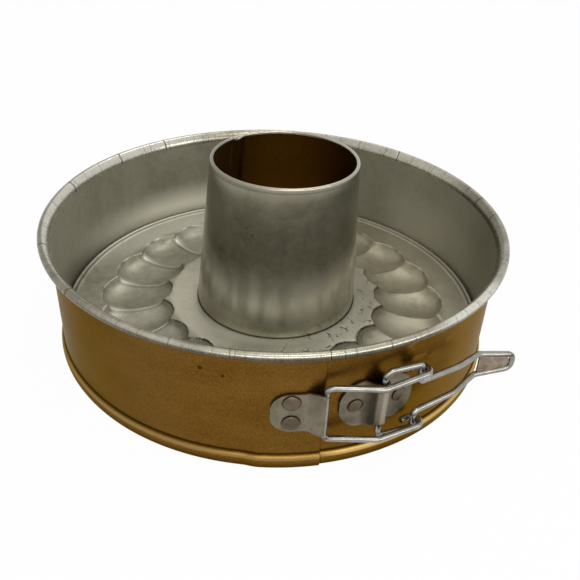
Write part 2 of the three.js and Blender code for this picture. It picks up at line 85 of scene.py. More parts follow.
# %% Signals
class Signal:
    def __init__(self, board, socket):
        self.board = board
        self.socket = socket

    def maths(self, operation, *values):
        return self.board.node("ShaderNodeMath", {"operation": operation}, dict(enumerate(values)))

    def __add__(self, other):
        return self.maths("ADD", self, other)

    def __sub__(self, other):
        return self.maths("SUBTRACT", self, other)

    def __rsub__(self, other):
        return self.maths("SUBTRACT", other, self)

    def __mul__(self, other):
        return self.maths("MULTIPLY", self, other)

    def __truediv__(self, other):
        return self.maths("DIVIDE", self, other)

    def __pow__(self, other):
        return self.maths("POWER", self, other)

    __radd__ = __add__
    __rmul__ = __mul__

    def one(self, operation):
        return self.maths(operation, self)

    def over(self, low, high):
        """0 below low, 1 above high and smooth between; low may be the larger one."""
        ends = {0: self, 1: low, 2: high, 3: 0.0, 4: 1.0}
        if low > high:
            ends = {0: self, 1: high, 2: low, 3: 1.0, 4: 0.0}
        return self.board.node("ShaderNodeMapRange", {"interpolation_type": "SMOOTHSTEP"}, ends)

    def tint(self, amount, *levels):
        """This colour with so much of another one over it, given as it looks on a screen."""
        return self.board.mix(amount, self, shade(*levels))


print("signals add, multiply, mask and tint")

# %% [markdown]
# A board is one node tree. A single method makes every node in it: it sets the node's own settings
# first, then its sockets, by value or by link. The other methods are short names for nodes that most
# finishes need. Patterns are laid out in millimetres, the way sheet metal is measured.

# %% Boards
MM = 0.001


class Board:
    def __init__(self, tree):
        self.tree = tree

    def node(self, kind, settings=None, sockets=None, output=0):
        made = self.tree.nodes.new(kind)
        for name, value in (settings or {}).items():
            setattr(made, name, value)
        for key, value in (sockets or {}).items():
            if isinstance(value, Signal):
                self.tree.links.new(value.socket, made.inputs[key])
            else:
                made.inputs[key].default_value = value
        return Signal(self, made.outputs[output]) if made.outputs else None

    def mix(self, amount, first, second):
        sockets = {0: amount, 6: first, 7: second}
        return self.node("ShaderNodeMix", {"data_type": "RGBA"}, sockets, 2)

    def place(self):
        """Object coordinates in millimetres, as a vector and as x, y and z."""
        raw = self.node("ShaderNodeTexCoord", output="Object")
        spot = self.node("ShaderNodeVectorMath", {"operation": "SCALE"}, {0: raw, "Scale": 1 / MM})
        return spot, self.axes(spot)

    def axes(self, vector):
        """The x, y and z of a vector."""
        return [self.node("ShaderNodeSeparateXYZ", None, {0: vector}, axis) for axis in range(3)]

    def away(self, spot, centre):
        """How far every spot is from a fixed place."""
        ends = {0: spot, 1: tuple(centre)}
        return self.node("ShaderNodeVectorMath", {"operation": "DISTANCE"}, ends, "Value")

    def cloud(self, spot, size, detail, rough=0.55, stretch=(1.0, 1.0, 1.0)):
        """Soft noise between 0 and 1 with patches of about that size in millimetres."""
        scaled = self.node("ShaderNodeVectorMath", {"operation": "MULTIPLY"}, {0: spot, 1: stretch})
        sockets = {"Vector": scaled, "Scale": 1.0 / size, "Detail": detail, "Roughness": rough}
        return self.node("ShaderNodeTexNoise", None, sockets)

    def bump(self, height):
        """A surface that rises and falls by heights in millimetres."""
        return self.node("ShaderNodeBump", None, {"Height": height, "Distance": MM, "Strength": 1.0})


print("boards make nodes, mixes, clouds and bumps")

# %% [markdown]
# Colours are written as they look on a screen, and turned into the plain light values that a shader
# wants. A finish starts as Blender's Principled shader, and its sockets are fed by name.

# %% New finishes
def rgb(r, g, b):
    return (r, g, b, 1.0)


def shade(*levels):
    """A colour given as it looks on a screen, in steps from 0 to 255."""
    parts = [level / 255 for level in levels]
    return rgb(*(p / 12.92 if p < 0.04045 else ((p + 0.055) / 1.055) ** 2.4 for p in parts))


def new_finish(name):
    made = bpy.data.materials.new(name)
    made.use_nodes = True
    board = Board(made.node_tree)
    shader = made.node_tree.nodes["Principled BSDF"]

    def feed(**values):
        for key, value in values.items():
            socket = shader.inputs[key.replace("_", " ")]
            if isinstance(value, Signal):
                made.node_tree.links.new(value.socket, socket)
            else:
                socket.default_value = value

    return made, board, feed


print("gold on a screen, as light:", [round(part, 3) for part in shade(120, 87, 37)])

# %% [markdown]
# ## The studio
# The pan stands alone on white. The floor and the world show white to the camera and to mirror-like
# rays, and the floor still takes a little of the shadow.

# %% Floor and world
def white_rays(board):
    """1 for rays that should see plain white: from the camera, mirrors and glass."""
    kinds = ("Is Camera Ray", "Is Glossy Ray", "Is Transmission Ray")
    first, second, third = (board.node("ShaderNodeLightPath", output=kind) for kind in kinds)
    seen = first + second + third
    return seen.maths("MINIMUM", seen, 1.0)


floor_mesh = bpy.data.meshes.new("floor")
floor_mesh.from_pydata([(-3, -3, 0), (3, -3, 0), (3, 3, 0), (-3, 3, 0)], [], [(0, 1, 2, 3)])
floor = bpy.data.objects.new("floor", floor_mesh)
scene.collection.objects.link(floor)
floor_finish = bpy.data.materials.new("pale_floor")
floor_finish.use_nodes = True
floor_finish.node_tree.nodes.clear()
board = Board(floor_finish.node_tree)
paper = board.node("ShaderNodeBsdfDiffuse", None, {"Color": rgb(0.8, 0.8, 0.8)})
glow = board.node("ShaderNodeEmission", None, {"Color": rgb(1, 1, 1), "Strength": 1.0})
blend = board.node("ShaderNodeMixShader", None, {0: white_rays(board) * 0.97, 1: paper, 2: glow})
board.node("ShaderNodeOutputMaterial", None, {"Surface": blend})
floor_mesh.materials.append(floor_finish)

world = bpy.data.worlds.new("studio")
scene.world = world
world.use_nodes = True
world.node_tree.nodes.clear()
board = Board(world.node_tree)
seen = white_rays(board)
sky = board.node("ShaderNodeBackground", None, {"Color": rgb(1, 1, 1), "Strength": 0.55 + 0.45 * seen})
board.node("ShaderNodeOutputWorld", None, {"Surface": sky})

scene.view_settings.view_transform = "Standard"
print("white floor and world")

# %% [markdown]
# In a white room metal shows its own colour. The lamps add bright lines on rims, wires and the foot
# bead, and several finishes add painted highlights and painted shade besides.

# %% Lamps
def soft_lamp(name, place, aim, width, height, watts):
    data = bpy.data.lights.new(name, "AREA")
    data.shape = "RECTANGLE"
    data.size = width
    data.size_y = height
    data.energy = watts
    lamp = bpy.data.objects.new(name, data)
    lamp.location = place
    lamp.rotation_euler = (Vector(aim) - Vector(place)).to_track_quat("-Z", "Y").to_euler()
    scene.collection.objects.link(lamp)


soft_lamp("lamp_above", (0.35, 0.5, 1.2), (0, 0, 0.05), 0.6, 0.6, 3.0)
soft_lamp("lamp_top", (0.1, -0.6, 1.25), (0, -0.1, 0.03), 0.5, 0.4, 3.0)
soft_lamp("lamp_front", (0.3, -1.2, 0.56), (0, 0, 0.02), 2.4, 0.3, 11.0)
print("lamps:", [lamp.name for lamp in bpy.data.lights])

# %% [markdown]
# ## Tin
# Tinplate is steel with a thin skin of tin. Years of baking leave it satin, warm grey and cloudy, with
# fine streaks and dark dots where the skin is gone. Noise of several sizes does it: broad clouds and a
# finer mottle for the colour, the mottle again for the shine, and a sharp threshold of fine noise for
# the dots.

# %% Tin finishes
def tin_look(name, light, dark, specks, dents, metallic, rough, uneven, marks):
    """Tin; marks is a function that adds to colour and height what is special to one piece."""
    made, board, feed = new_finish(name)
    spot, axes = board.place()
    clouds = board.cloud(spot, 26, 4)
    mottle = board.cloud(spot, 4, 5, 0.7)
    grain = board.cloud(spot, 0.7, 2, 0.6)
    dots = board.cloud(spot, 1.6, 2, 0.5).over(specks, specks + 0.03)
    tone = (clouds * 0.45 + mottle * 0.35 + grain * 0.2).over(0.36, 0.64)
    colour = board.mix(tone, dark, light)
    colour = board.mix(dots * 0.75, colour, rgb(0.035, 0.03, 0.02))
    height = board.cloud(spot, 34, 1) * dents + mottle * 0.03 + grain * 0.012
    colour, height = marks(board, spot, *axes, colour, height)
    feed(Base_Color=colour, Metallic=metallic, Roughness=rough + (mottle - 0.5) * uneven)
    feed(Normal=board.bump(height))
    return made


def wall_marks(board, spot, x, y, z, colour, height):
    streaks = board.cloud(spot, 2.2, 2, 0.6, (1, 1, 0.05)).over(0.35, 0.65)
    colour = colour.tint(streaks * 0.03, 205, 202, 182)
    # Painted highlight on the wall at the back right, stronger low down.
    behind = x.over(84, 112) * x.over(126, 114) * (0.15 + 0.3 * z.over(58, 30))
    colour = colour.tint(behind, 238, 234, 214)
    # Painted shade on the wall at the right, more at the front right.
    far_right = x.over(50, 80) * 0.25 + x.over(90, 112) * y.over(10, -30) * 0.35
    colour = colour.tint(far_right, 92, 85, 62)
    # Painted highlight low on the wall at the back left, strongest furthest back.
    low_left = x.over(10, -30) * y.over(20, 80) * z.over(40, 22) * z.over(12, 23)
    colour = colour.tint(low_left * (0.4 + 0.45 * y.over(78, 104)), 240, 237, 222)
    # Painted shade in the corner between the wall and the base at the left.
    left_corner = x.over(-84, -114) * z.over(36, 16)
    return colour.tint(left_corner * 0.6, 58, 54, 40), height


def tube_marks(board, spot, x, y, z, colour, height):
    # Painted reflection of the flutes on the lower tube, broken into soft streaks.
    reflection_streaks = board.cloud(spot, 8, 1, 0.5, (1, 1, 0.3)).over(0.30, 0.66)
    low = z.over(64, 34) * z.over(19, 34)
    colour = colour.tint(low * (0.5 + 0.5 * reflection_streaks), 242, 239, 226)
    # Painted shade towards the top of the tube.
    colour = colour.tint(z.over(84, 98) * 0.5, 122, 119, 102)
    # Painted shade in a line at the tube's foot and under the hem, and a painted highlight on top of the
    # hem.
    hem = z.over(98.9, 99.4) * z.over(100.2, 99.7)
    colour = colour.tint(z.over(17.9, 17.4) * 0.7 + hem * 0.35, 46, 38, 24)
    colour = colour.tint(z.over(100.6, 101.4) * 0.3, 206, 198, 184)
    # Painted shade at the left of the tube and on its hem there.
    left_side = x.over(-28, -42) * 0.45 + x.over(-10, -32) * z.over(98, 100.5) * 0.5
    return colour.tint(left_side, 92, 88, 72), height


wall_tin = tin_look(
    "wall_tin", shade(162, 159, 142), shade(141, 138, 121), 0.76, 0.2, 0.5, 0.40, 0.2, wall_marks)
tube_tin = tin_look(
    "tube_tin", shade(174, 171, 152), shade(144, 141, 123), 0.71, 0.06, 0.88, 0.22, 0.10, tube_marks)
print("tin:", wall_tin.name, tube_tin.name)

# %% [markdown]
# Dirt on the base follows its flutes. Painting a line by hand for each flute would go wrong as soon as a
# flute moved. So the oval of a flute is one sum, and both the finish and the press further on use it.

# %% Flute ovals
FLUTES = 20
FLUTE_TURN = math.radians(7.4)
FLUTE_IN = 60.0
FLUTE_OUT = 100.5
FLUTE_LAP = 1.4


def radius_of(x, y):
    return (x * x + y * y).one("SQRT")


def turn_of(x, y):
    """Angle in radians from the front of the pan towards +X."""
    return x.maths("ARCTAN2", x, y * -1)


def flute_oval(x, y, flutes, first_turn, inner, outer, overlap):
    """1 in the middle of a flute and 0 on the edge of its oval, and the place across the flute."""
    turns = (turn_of(x, y) - first_turn) * flutes / (2 * math.pi)
    across = (turns - turns.one("ROUND")) * 2 / overlap
    middle = (inner + outer) / 2
    reach = (outer - inner) / 2
    along = ((radius_of(x, y) - middle) / reach).one("ABSOLUTE")
    return 1 - along ** 2.4 - across * across, across


print(FLUTES, "flutes from radius", FLUTE_IN, "to", FLUTE_OUT, "mm")

# %% [markdown]
# The base is tin of the same shine as the wall. Dirt stays in its corners, as a broken dark line along
# the edges of the ovals. The crests between the flutes are dark with dirt at the right; at the left they
# get a painted highlight with painted shade at their foot. The flat, the ring round the tube and the
# raised edge get painted highlights and painted shade in places. The flat ring round the tube is crazed
# with fine cracks, mostly at its right.

# %% Base finish
RING_TOP = 17.0
TUBE_FOOT = (1.3, -0.2, RING_TOP)


def base_marks(board, spot, x, y, z, colour, height):
    radius = radius_of(x, y)
    oval, across = flute_oval(x, y, FLUTES, FLUTE_TURN, FLUTE_IN, FLUTE_OUT, FLUTE_LAP)

    # Stains lie in the flutes at the right. At the left the crests and one side of each flute get a
    # painted highlight, with painted shade at the crests' foot.
    at_left = x.over(10, -30)
    dished = oval.over(0.02, 0.1)
    to_crest = across.one("ABSOLUTE") * FLUTE_LAP
    crest = to_crest.over(0.93, 0.995) * dished
    beside_crest = to_crest.over(0.78, 0.86) * to_crest.over(0.94, 0.88) * across.over(0, -0.1) * dished
    lit_side = across.over(0.44, 0.62) * radius.over(82, 94) * dished
    stains = board.cloud(spot, 9, 2, 0.5).over(0.57, 0.68) * oval.over(0.1, 0.5) * x.over(0, 40)
    colour = colour.tint(stains * 0.45, 92, 86, 66)
    colour = colour.tint(beside_crest * at_left * 0.4, 88, 84, 68)
    colour = colour.tint((crest + lit_side) * at_left * 0.6, 236, 233, 220)

    # The flat outside the flutes gets a painted highlight at the back and at the right, and the tin is
    # yellower at the right.
    far_flat = x.over(10, -40) * y.over(38, 76) * radius.over(97, 103)
    right_flat = x.over(70, 100) * radius.over(98, 103)
    colour = colour.tint(far_flat * 0.5 + right_flat * 0.2, 232, 229, 215)
    colour = colour.tint(x.over(20, 90) * 0.4, 150, 138, 106)
    # Painted shade on the flutes at the right front.
    near_dishes = x.over(50, 80) * y.over(0, -20) * oval.over(0, 0.3)
    colour = colour.tint(near_dishes * 0.22, 116, 111, 94)

    # The ring round the tube gets a painted highlight in front and at the left, and painted shade at the
    # right.
    ring = radius.over(62, 58)
    ring_front = ring * y.over(-10, -46) * (0.9 - 0.7 * radius.over(47, 54))
    colour = colour.tint(ring_front, 222, 218, 200)
    colour = colour.tint(ring * x.over(20, 48) * 0.55, 112, 107, 90)
    colour = colour.tint(ring * x.over(-24, -52) * 0.35, 222, 213, 190)

    # The raised edge gets a painted highlight at the back, and painted shade in the grooves beside it.
    edge_ring = radius.over(117.2, 117.6) * x.over(20, -30) * y.over(50, 100)
    colour = colour.tint(edge_ring * 0.8, 248, 245, 230)
    groove = radius.over(116.2, 116.6) * radius.over(117.3, 116.9) * 0.55
    inner_groove = radius.over(113.8, 114.1) * radius.over(114.9, 114.5) * 0.3
    colour = colour.tint(groove + inner_groove, 62, 56, 42)

    # Dirt fills the ovals' edges and the cracks of the ring, and painted shade fills the corner at the
    # tube's foot.
    broken = board.cloud(spot, 5, 3, 0.6).over(0.30, 0.50)
    rim_line = oval.over(-0.05, 0) * oval.over(0.06, 0.01)
    ring_side = radius.over(78, 66)
    dirt = (rim_line * (0.35 + 0.6 * ring_side) + crest * (0.5 - 0.35 * at_left)) * broken
    cells = {"Vector": spot, "Scale": 0.22}
    edges = board.node("ShaderNodeTexVoronoi", {"feature": "DISTANCE_TO_EDGE"}, cells)
    patches = board.cloud(spot, 8, 3, 0.65).over(0.50, 0.62)
    cracks = edges.over(0.085, 0.03) * patches * (x - y).over(20, 75) * radius.over(66, 60)
    colour = colour.tint(dirt + cracks, 58, 50, 34)
    colour = colour.tint(board.away(spot, TUBE_FOOT).over(46.5, 46.1) * 0.7, 46, 38, 24)
    return colour, height - cracks * 0.1


base_tin = tin_look(
    "base_tin", shade(166, 162, 144), shade(132, 128, 110), 0.77, 0.15, 0.5, 0.40, 0.2, base_marks)
print("base:", base_tin.name)

# %% [markdown]
# The rolled rim creases where the sheet was stretched outward, so dark ticks cross it at uneven steps.
# The angle round the pan is cut into cells. Each cell draws numbers of its own from White Noise, which
# say whether it has a tick, where it lies and how strong it is. Wide cells give a few deep nicks and
# narrow cells give hairlines. Grime sits on the outer side of the roll, below the top, and that
# underside also gets painted shade. Painted highlights and painted shade lie at places round the rim.

# %% Rim finish
def rim_look():
    made, board, feed = new_finish("rim_tin")
    spot, (x, y, z) = board.place()
    angle = x.maths("ARCTAN2", y, x) * (180 / math.pi) + board.cloud(spot, 5, 1) * 0.8
    radius = radius_of(x, y)

    def ticks(step, width, low, high, seed):
        """Lines across the rim, one in some of the cells of so many degrees; width in degrees."""
        cells = angle / step
        number = cells.one("FLOOR") + seed
        noise = {"noise_dimensions": "1D"}
        chance = board.node("ShaderNodeTexWhiteNoise", noise, {"W": number})
        where = board.node("ShaderNodeTexWhiteNoise", noise, {"W": number + 71.3}) * 0.7 + 0.15
        away = (cells.one("FRACT") - where).one("ABSOLUTE") * step
        return away.over(width, width * 0.4) * chance.over(low, high)

    deep = ticks(11.0, 0.32, 0.45, 0.75, 3.0) * (1 - 0.75 * y.over(-70, -112))
    hair = ticks(2.3, 0.18, 0.40, 0.90, 40.0)
    clouds = board.cloud(spot, 12, 4, 0.6)
    fine = board.cloud(spot, 1.3, 3, 0.6)
    low_side = z.over(68.9, 67.6) * radius.over(124.4, 125.4)
    grime = fine.over(0.50, 0.66) * (0.25 + 0.6 * low_side)
    colour = board.mix(clouds.over(0.3, 0.7), shade(128, 123, 106), shade(160, 155, 138))
    # Painted shade on the rim at the left, and a painted highlight on its inner flare there.
    inner_left = x.over(-10, -60) * y.over(-80, -20) * radius.over(124.2, 122.4)
    colour = colour.tint(x.over(-60, -116) * 0.45, 92, 88, 74)
    colour = colour.tint(inner_left * 0.6, 226, 224, 212)
    # Painted highlight on the rim at the back right, and painted shade at the front and on the flare at
    # the right.
    colour = colour.tint(x.over(20, 80) * y.over(0, 60) * 0.4, 206, 203, 188)
    colour = colour.tint(y.over(-70, -118) * (0.2 + 0.4 * x.over(-50, 10)), 98, 91, 76)
    flare_right = radius.over(123.4, 122.2) * x.over(30, 90) * y.over(45, 5)
    colour = colour.tint(flare_right * 0.7, 92, 88, 72)
    # Painted shade on the inner side of the rim at the front, and painted highlights along the top of
    # the roll there and at the right front.
    at_front = y.over(-60, -110)
    colour = colour.tint(radius.over(124, 122.8) * at_front * 0.45, 100, 95, 80)
    shoulder = radius.over(124.2, 124.8) * z.over(68.5, 69.1)
    colour = colour.tint(shoulder * at_front * 0.3, 232, 229, 214)
    front_right = x.over(44, 66) * x.over(100, 86) * y.over(-66, -92) * z.over(67, 68)
    colour = colour.tint(front_right * 0.6, 236, 233, 222)
    # Painted shade under the roll, stronger at the front.
    colour = colour.tint(low_side * (0.55 + 0.25 * at_front), 76, 67, 50)
    colour = colour.tint(grime, 66, 57, 40)
    colour = colour.tint(deep * 0.7 + hair * 0.5, 40, 33, 22)
    feed(Base_Color=colour, Metallic=0.85, Roughness=0.27 + (fine - 0.5) * 0.3 + deep * 0.2)
    feed(Normal=board.bump(clouds * 0.12 + fine * 0.03 - deep * 0.2))
    return made


rim_tin = rim_look()
print("rim:", rim_tin.name)

# %% [markdown]
# ## Gold lacquer
# The outside of the band has a clear golden varnish baked on the tin. It is satin, greyer at the left
# with a painted reflection, and worn paler at the right. It has painted shade in the crease above the
# foot bead and under the bead, and a painted highlight along the bead's shoulder, with fine grain and a
# few burnt dots. Beside the clasp the lever has scuffed it. The inside of the tube has the same varnish,
# browned by heat, with painted shade deeper down and a painted highlight at the left. So one function
# makes the varnish, and each piece adds its own marks.

# %% Lacquer finishes
DOT_R = 121.0
BURNT_DOTS = ((-25.5, 55.0, 1.1), (-20.8, 52.5, 0.8), (-38.0, 30.0, 0.5))


def polar(deg, r, z):
    """Points at an angle from the front towards +X, a radius and a height, in millimetres."""
    a = np.radians(deg)
    return np.stack(np.broadcast_arrays(r * np.sin(a), -r * np.cos(a), z), axis=-1).astype(float)


def lacquer_look(name, light, dark, rough, marks):
    """Varnish on tin; marks is a function that adds to the colour what is special to one piece."""
    made, board, feed = new_finish(name)
    spot, axes = board.place()
    clouds = board.cloud(spot, 30, 4, 0.6, (1, 1, 2.2))
    grain = board.cloud(spot, 0.8, 2, 0.7)
    tone = (clouds * 0.35 + grain * 0.65).over(0.34, 0.66)
    colour = marks(board, spot, *axes, board.mix(tone, dark, light))
    height = board.cloud(spot, 30, 1) * 0.15 + grain * 0.008
    feed(Base_Color=colour, Metallic=1.0, Roughness=rough + (grain - 0.5) * 0.12)
    feed(Specular_Tint=rgb(0.62, 0.55, 0.42), Normal=board.bump(height))
    return made


def band_marks(board, spot, x, y, z, colour):
    right = x.over(-2, 12)
    colour = colour.tint(right * 0.2, 88, 60, 14)
    worn = x.over(40, 78) * y.over(20, -30)
    colour = colour.tint(worn * 0.45, 156, 124, 78)
    # Painted reflection: the varnish greyer at the left.
    colour = colour.tint(x.over(-40, -110) * 0.4, 104, 84, 58)
    rubbed = board.cloud(spot, 6, 3, 0.6, (0.5, 0.5, 1.6)).over(0.52, 0.66)
    near_lever = x.over(30, 44) * x.over(74, 58) * z.over(46, 52) * y.over(0, -40)
    colour = colour.tint(rubbed * near_lever * 0.5, 164, 122, 62)
    # Painted highlight along the foot bead's shoulder, brighter right of the lap.
    shoulder = z.over(5.8, 6.8) * z.over(8.4, 7.6)
    colour = colour.tint(shoulder * (0.3 + 0.6 * right), 206, 174, 108)
    # A dark line beside the lap's edge: dirt and painted shade.
    seam = x.over(0.15, 0.35) * x.over(1, 0.6) * y.over(-60, -100)
    colour = colour.tint(seam * 0.4, 58, 36, 6)
    # Painted shade in the crease above the foot bead and under the bead.
    crease = z.over(8.2, 8.9) * z.over(10.6, 9.3)
    under = z.over(6, 2.5)
    colour = colour.tint(crease * 0.95 + under * 0.7, 58, 40, 12)
    for deg, height, size in BURNT_DOTS:
        away = board.away(spot, polar(deg, DOT_R, height))
        colour = colour.tint(away.over(size + 0.4, size - 0.3) * 0.8, 38, 20, 6)
    return colour


def tube_inside_light_and_shade(board, spot, x, y, z, colour):
    # Painted shade deeper down the tube, and a painted highlight at its left.
    colour = colour.tint(z.over(92, 62) * 0.6, 62, 34, 5)
    return colour.tint(x.over(-16, -36) * 0.5, 138, 112, 52)


lacquer = lacquer_look("gold_lacquer", shade(120, 87, 37), shade(95, 65, 22), 0.36, band_marks)
tube_lacquer = lacquer_look("browned_lacquer", shade(92, 62, 14), shade(74, 48, 9), 0.45, tube_inside_light_and_shade)
print("lacquer:", lacquer.name, tube_lacquer.name)

# %% [markdown]
# ## Wire and plates
# The clasp is bent from bright plated wire. Its plates are stamped from plain sheet that has gone dull,
# with small stains, and dark rings round the rivets, which are dirt with painted shade in the gap. So
# the places of the rivets come first, and the shapes further on use the same names.

# %% Clasp places
INNER_R = 120.0
BAND_SHEET = 0.6
WALL_R = INNER_R + BAND_SHEET
LAP_STEP = 0.9
PLATE = 1.0
GAP = 0.3
ANCHOR_FACE_R = WALL_R + LAP_STEP + GAP + PLATE
SADDLE_FACE_R = WALL_R + GAP + PLATE
CLASP_Z = 35.3
ANCHOR_RISE = 0.6
ANCHOR_RIVET_DEG = -6.7
ANCHOR_RIVET_STEP = 11.4
ANCHOR_RIVET_Z = CLASP_Z + ANCHOR_RISE - ANCHOR_RIVET_STEP / 2
ANCHOR_HEAD_R = 3.8
SADDLE_RIVET_DEG = 6.9
SADDLE_RIVET_STEP = 10.4
SADDLE_HEAD_R = 3.4
rivet_heads = []
for i in range(2):
    anchor_z = ANCHOR_RIVET_Z + i * ANCHOR_RIVET_STEP
    saddle_deg = SADDLE_RIVET_DEG + i * SADDLE_RIVET_STEP
    rivet_heads.append((polar(ANCHOR_RIVET_DEG, ANCHOR_FACE_R, anchor_z), ANCHOR_HEAD_R))
    rivet_heads.append((polar(saddle_deg, SADDLE_FACE_R, CLASP_Z), SADDLE_HEAD_R))
print("rivet heads at", [place.round(1).tolist() for place, _ in rivet_heads])

# %% [markdown]
# All the steel is one function with more or less stain and crumple. The thumb plate is the roughest:
# crumpled and scuffed. The wires get painted shade on the undersides of their strands, and the saddle's
# hump gets painted shade on its flank and a painted highlight on its crown.

# %% Clasp finishes
def steel_look(name, light, dark, rough, stains, crumple, marks=None):
    """Bare or plated steel; stains and crumple say how much, marks is as for the lacquer."""
    made, board, feed = new_finish(name)
    spot, axes = board.place()
    clouds = board.cloud(spot, 6, 4, 0.6)
    fine = board.cloud(spot, 0.8, 3, 0.6)
    stain = board.cloud(spot, 2, 3, 0.6).over(0.60, 0.72) * stains
    colour = board.mix(clouds.over(0.3, 0.7), dark, light)
    colour = board.mix(stain, colour, rgb(0.07, 0.05, 0.03))
    if marks:
        colour = marks(board, spot, *axes, colour)
    feed(Base_Color=colour, Metallic=0.9, Roughness=rough + (fine - 0.5) * 0.4 * rough + stain * 0.25)
    crumples = board.cloud(spot, 2.2, 3, 0.6) * crumple
    feed(Normal=board.bump(crumples + fine * min(0.02, 0.4 * crumple)))
    return made


def wire_underside_shade(board, spot, x, y, z, colour):
    """Painted shade on the undersides of the link's level strands and of the lever's legs, which run
    together.
    """
    rise = z - CLASP_Z
    for half in (15.0, 9.0 - (x - 45.0) * 0.066):
        below = (rise.one("ABSOLUTE") - half) * rise.one("SIGN")
        colour = colour.tint(below.over(-0.1, -1.2) * below.over(-1.9, -1.6) * 0.7, 62, 55, 45)
    return colour


def plate_marks(board, spot, x, y, z, colour):
    # Dark rings round the rivets: dirt, and painted shade in the gap.
    for centre, size in rivet_heads:
        colour = colour.tint(board.away(spot, centre).over(size + 0.9, size + 0.2) * 0.8, 40, 32, 22)
    # Painted shade on the hump's flank and a painted highlight on its crown.
    deg = turn_of(x, y) * (180 / math.pi)
    flank = deg.over(7.8, 10.2) * deg.over(11, 10.5)
    crown = deg.over(11.3, 11.9) * deg.over(13.4, 12.9)
    return colour.tint(flank * 0.85, 38, 32, 22).tint(crown * 0.5, 176, 169, 154)


wire_steel = steel_look(
    "plated_wire", shade(156, 154, 146), shade(134, 131, 123), 0.20, 0.2, 0.01, wire_underside_shade)
rivet_steel = steel_look("rivet_steel", shade(104, 92, 75), shade(82, 71, 54), 0.34, 0.4, 0.04)
thumb_steel = steel_look("scuffed_plate", shade(164, 150, 136), shade(118, 105, 90), 0.55, 0.5, 0.5)
plate_steel = steel_look(
    "dull_plate", shade(126, 118, 101), shade(104, 96, 78), 0.45, 0.4, 0.05, plate_marks)
print("steel:", wire_steel.name, rivet_steel.name, thumb_steel.name, plate_steel.name)

# %% [markdown]
# ## Sheet metal helpers
# Most of the pan is sheet that follows a path. A path is a line of points down the middle of the sheet,
# and its two faces lie half a thickness to each side. Sweeping both faces round the pan gives a closed
# body. Solidify could do the same, but here we know which face is which, so that the inside can be tin
# and the outside lacquer.

# %% Sheet helpers
def smooth_line(points, steps):
    """A soft curve through points, as a chain of short straight steps."""
    p = np.array(points, float)
    ends = np.vstack([2 * p[0] - p[1], p, 2 * p[-1] - p[-2]])
    t = np.linspace(0, 1, steps, endpoint=False)[:, None]
    line = []
    for a, b, c, d in zip(ends, ends[1:], ends[2:], ends[3:]):
        bend = 2 * a - 5 * b + 4 * c - d
        twist = 3 * b - a - 3 * c + d
        line.append(0.5 * (2 * b + (c - a) * t + bend * t**2 + twist * t**3))
    return np.vstack(line + [p[-1:]])


def sheet_outline(path, thickness):
    """The closed outline of a sheet along a path: its left face, then its right face backwards."""
    path = np.array(path, float)
    steps = np.diff(path, axis=0)
    steps /= np.linalg.norm(steps, axis=1)[:, None]
    before = np.vstack([steps[:1], steps])
    after = np.vstack([steps, steps[-1:]])
    along = before + after
    along /= np.linalg.norm(along, axis=1)[:, None]
    reach = thickness / 2 / np.maximum(0.6, (along * after).sum(axis=1))
    side = np.stack([-along[:, 1], along[:, 0]], axis=1) * reach[:, None]
    return np.vstack([path + side, (path - side)[::-1]])


print("a sheet of two points has an outline of", len(sheet_outline([(0, 0), (1, 0)], 0.1)))

# %% [markdown]
# A mesh is made from points and faces, turned outward and shaded smooth up to a crease angle. A sweep
# joins rings of points by faces, and says for each face which step of the outline it came from. That is
# how a face finds its finish.

# %% Mesh helpers
def smooth_up_to(crease, mesh):
    """Shades a mesh smooth, apart from edges sharper than the crease angle in degrees."""
    mesh.polygons.foreach_set("use_smooth", [True] * len(mesh.polygons))
    mesh.set_sharp_from_angle(angle=math.radians(crease))


def make_piece(name, points, faces, finishes, which=None, crease=38):
    """A mesh object from points in millimetres, turned outward; which says the finish of each face."""
    points = np.asarray(points, float)
    fans = [(f[0], f[i], f[i + 1]) for f in faces for i in range(1, len(f) - 1)]
    a, b, c = (points[[f[k] for f in fans]] for k in range(3))
    if np.einsum("ij,ij->", a, np.cross(b, c)) < 0:
        faces = [tuple(reversed(f)) for f in faces]
    mesh = bpy.data.meshes.new(name)
    mesh.from_pydata((points * MM).tolist(), [], faces)
    for made in finishes:
        mesh.materials.append(made)
    if which is not None:
        mesh.polygons.foreach_set("material_index", which)
    smooth_up_to(crease, mesh)
    obj = bpy.data.objects.new(name, mesh)
    scene.collection.objects.link(obj)
    return obj


def swept(rings, looped=False):
    """Points and faces of an outline carried through rings, and each face's step of it, -1 on caps."""
    count, size = rings.shape[:2]
    faces = []
    kinds = []
    for i in range(count if looped else count - 1):
        n, f = i * size, ((i + 1) % count) * size
        for j in range(size):
            k = (j + 1) % size
            faces.append((n + j, n + k, f + k, f + j))
            kinds.append(j)
    if not looped:
        half = size // 2
        for start in (0, (count - 1) * size):
            for j in range(half - 1):
                cap = (start + j, start + j + 1, start + size - 2 - j, start + size - 1 - j)
                faces.append(cap if start else cap[::-1])
                kinds.append(-1)
    return rings.reshape(-1, 3), faces, kinds


print("mesh helpers ready")

# %% [markdown]
# ## The band
# One strip of sheet: a lip turned in under the base, a bulged foot bead with a sharp crease above it, a
# plain wall, and a rim that flares and then rolls outward. The roll turns the tinned inside of the
# sheet out, so the rim is silver while the wall below it is gold. The left end steps outward and laps
# over the right end.

# %% Band section
PAN_H = 70.0
RIM_R = 2.1
RIM_OUT = 6.0
FLARE_R = 6.0
FOOT = [
    (116.6, 0.3), (119.3, 0.3), (121.35, 1.6), (122.0, 3.9), (121.85, 6.0), (121.45, 7.4), (120.7, 8.5),
]


def arc(centre, radius, start, end, count):
    turn = np.radians(np.linspace(start, end, count))
    return np.stack([np.cos(turn), np.sin(turn)], axis=1) * radius + centre


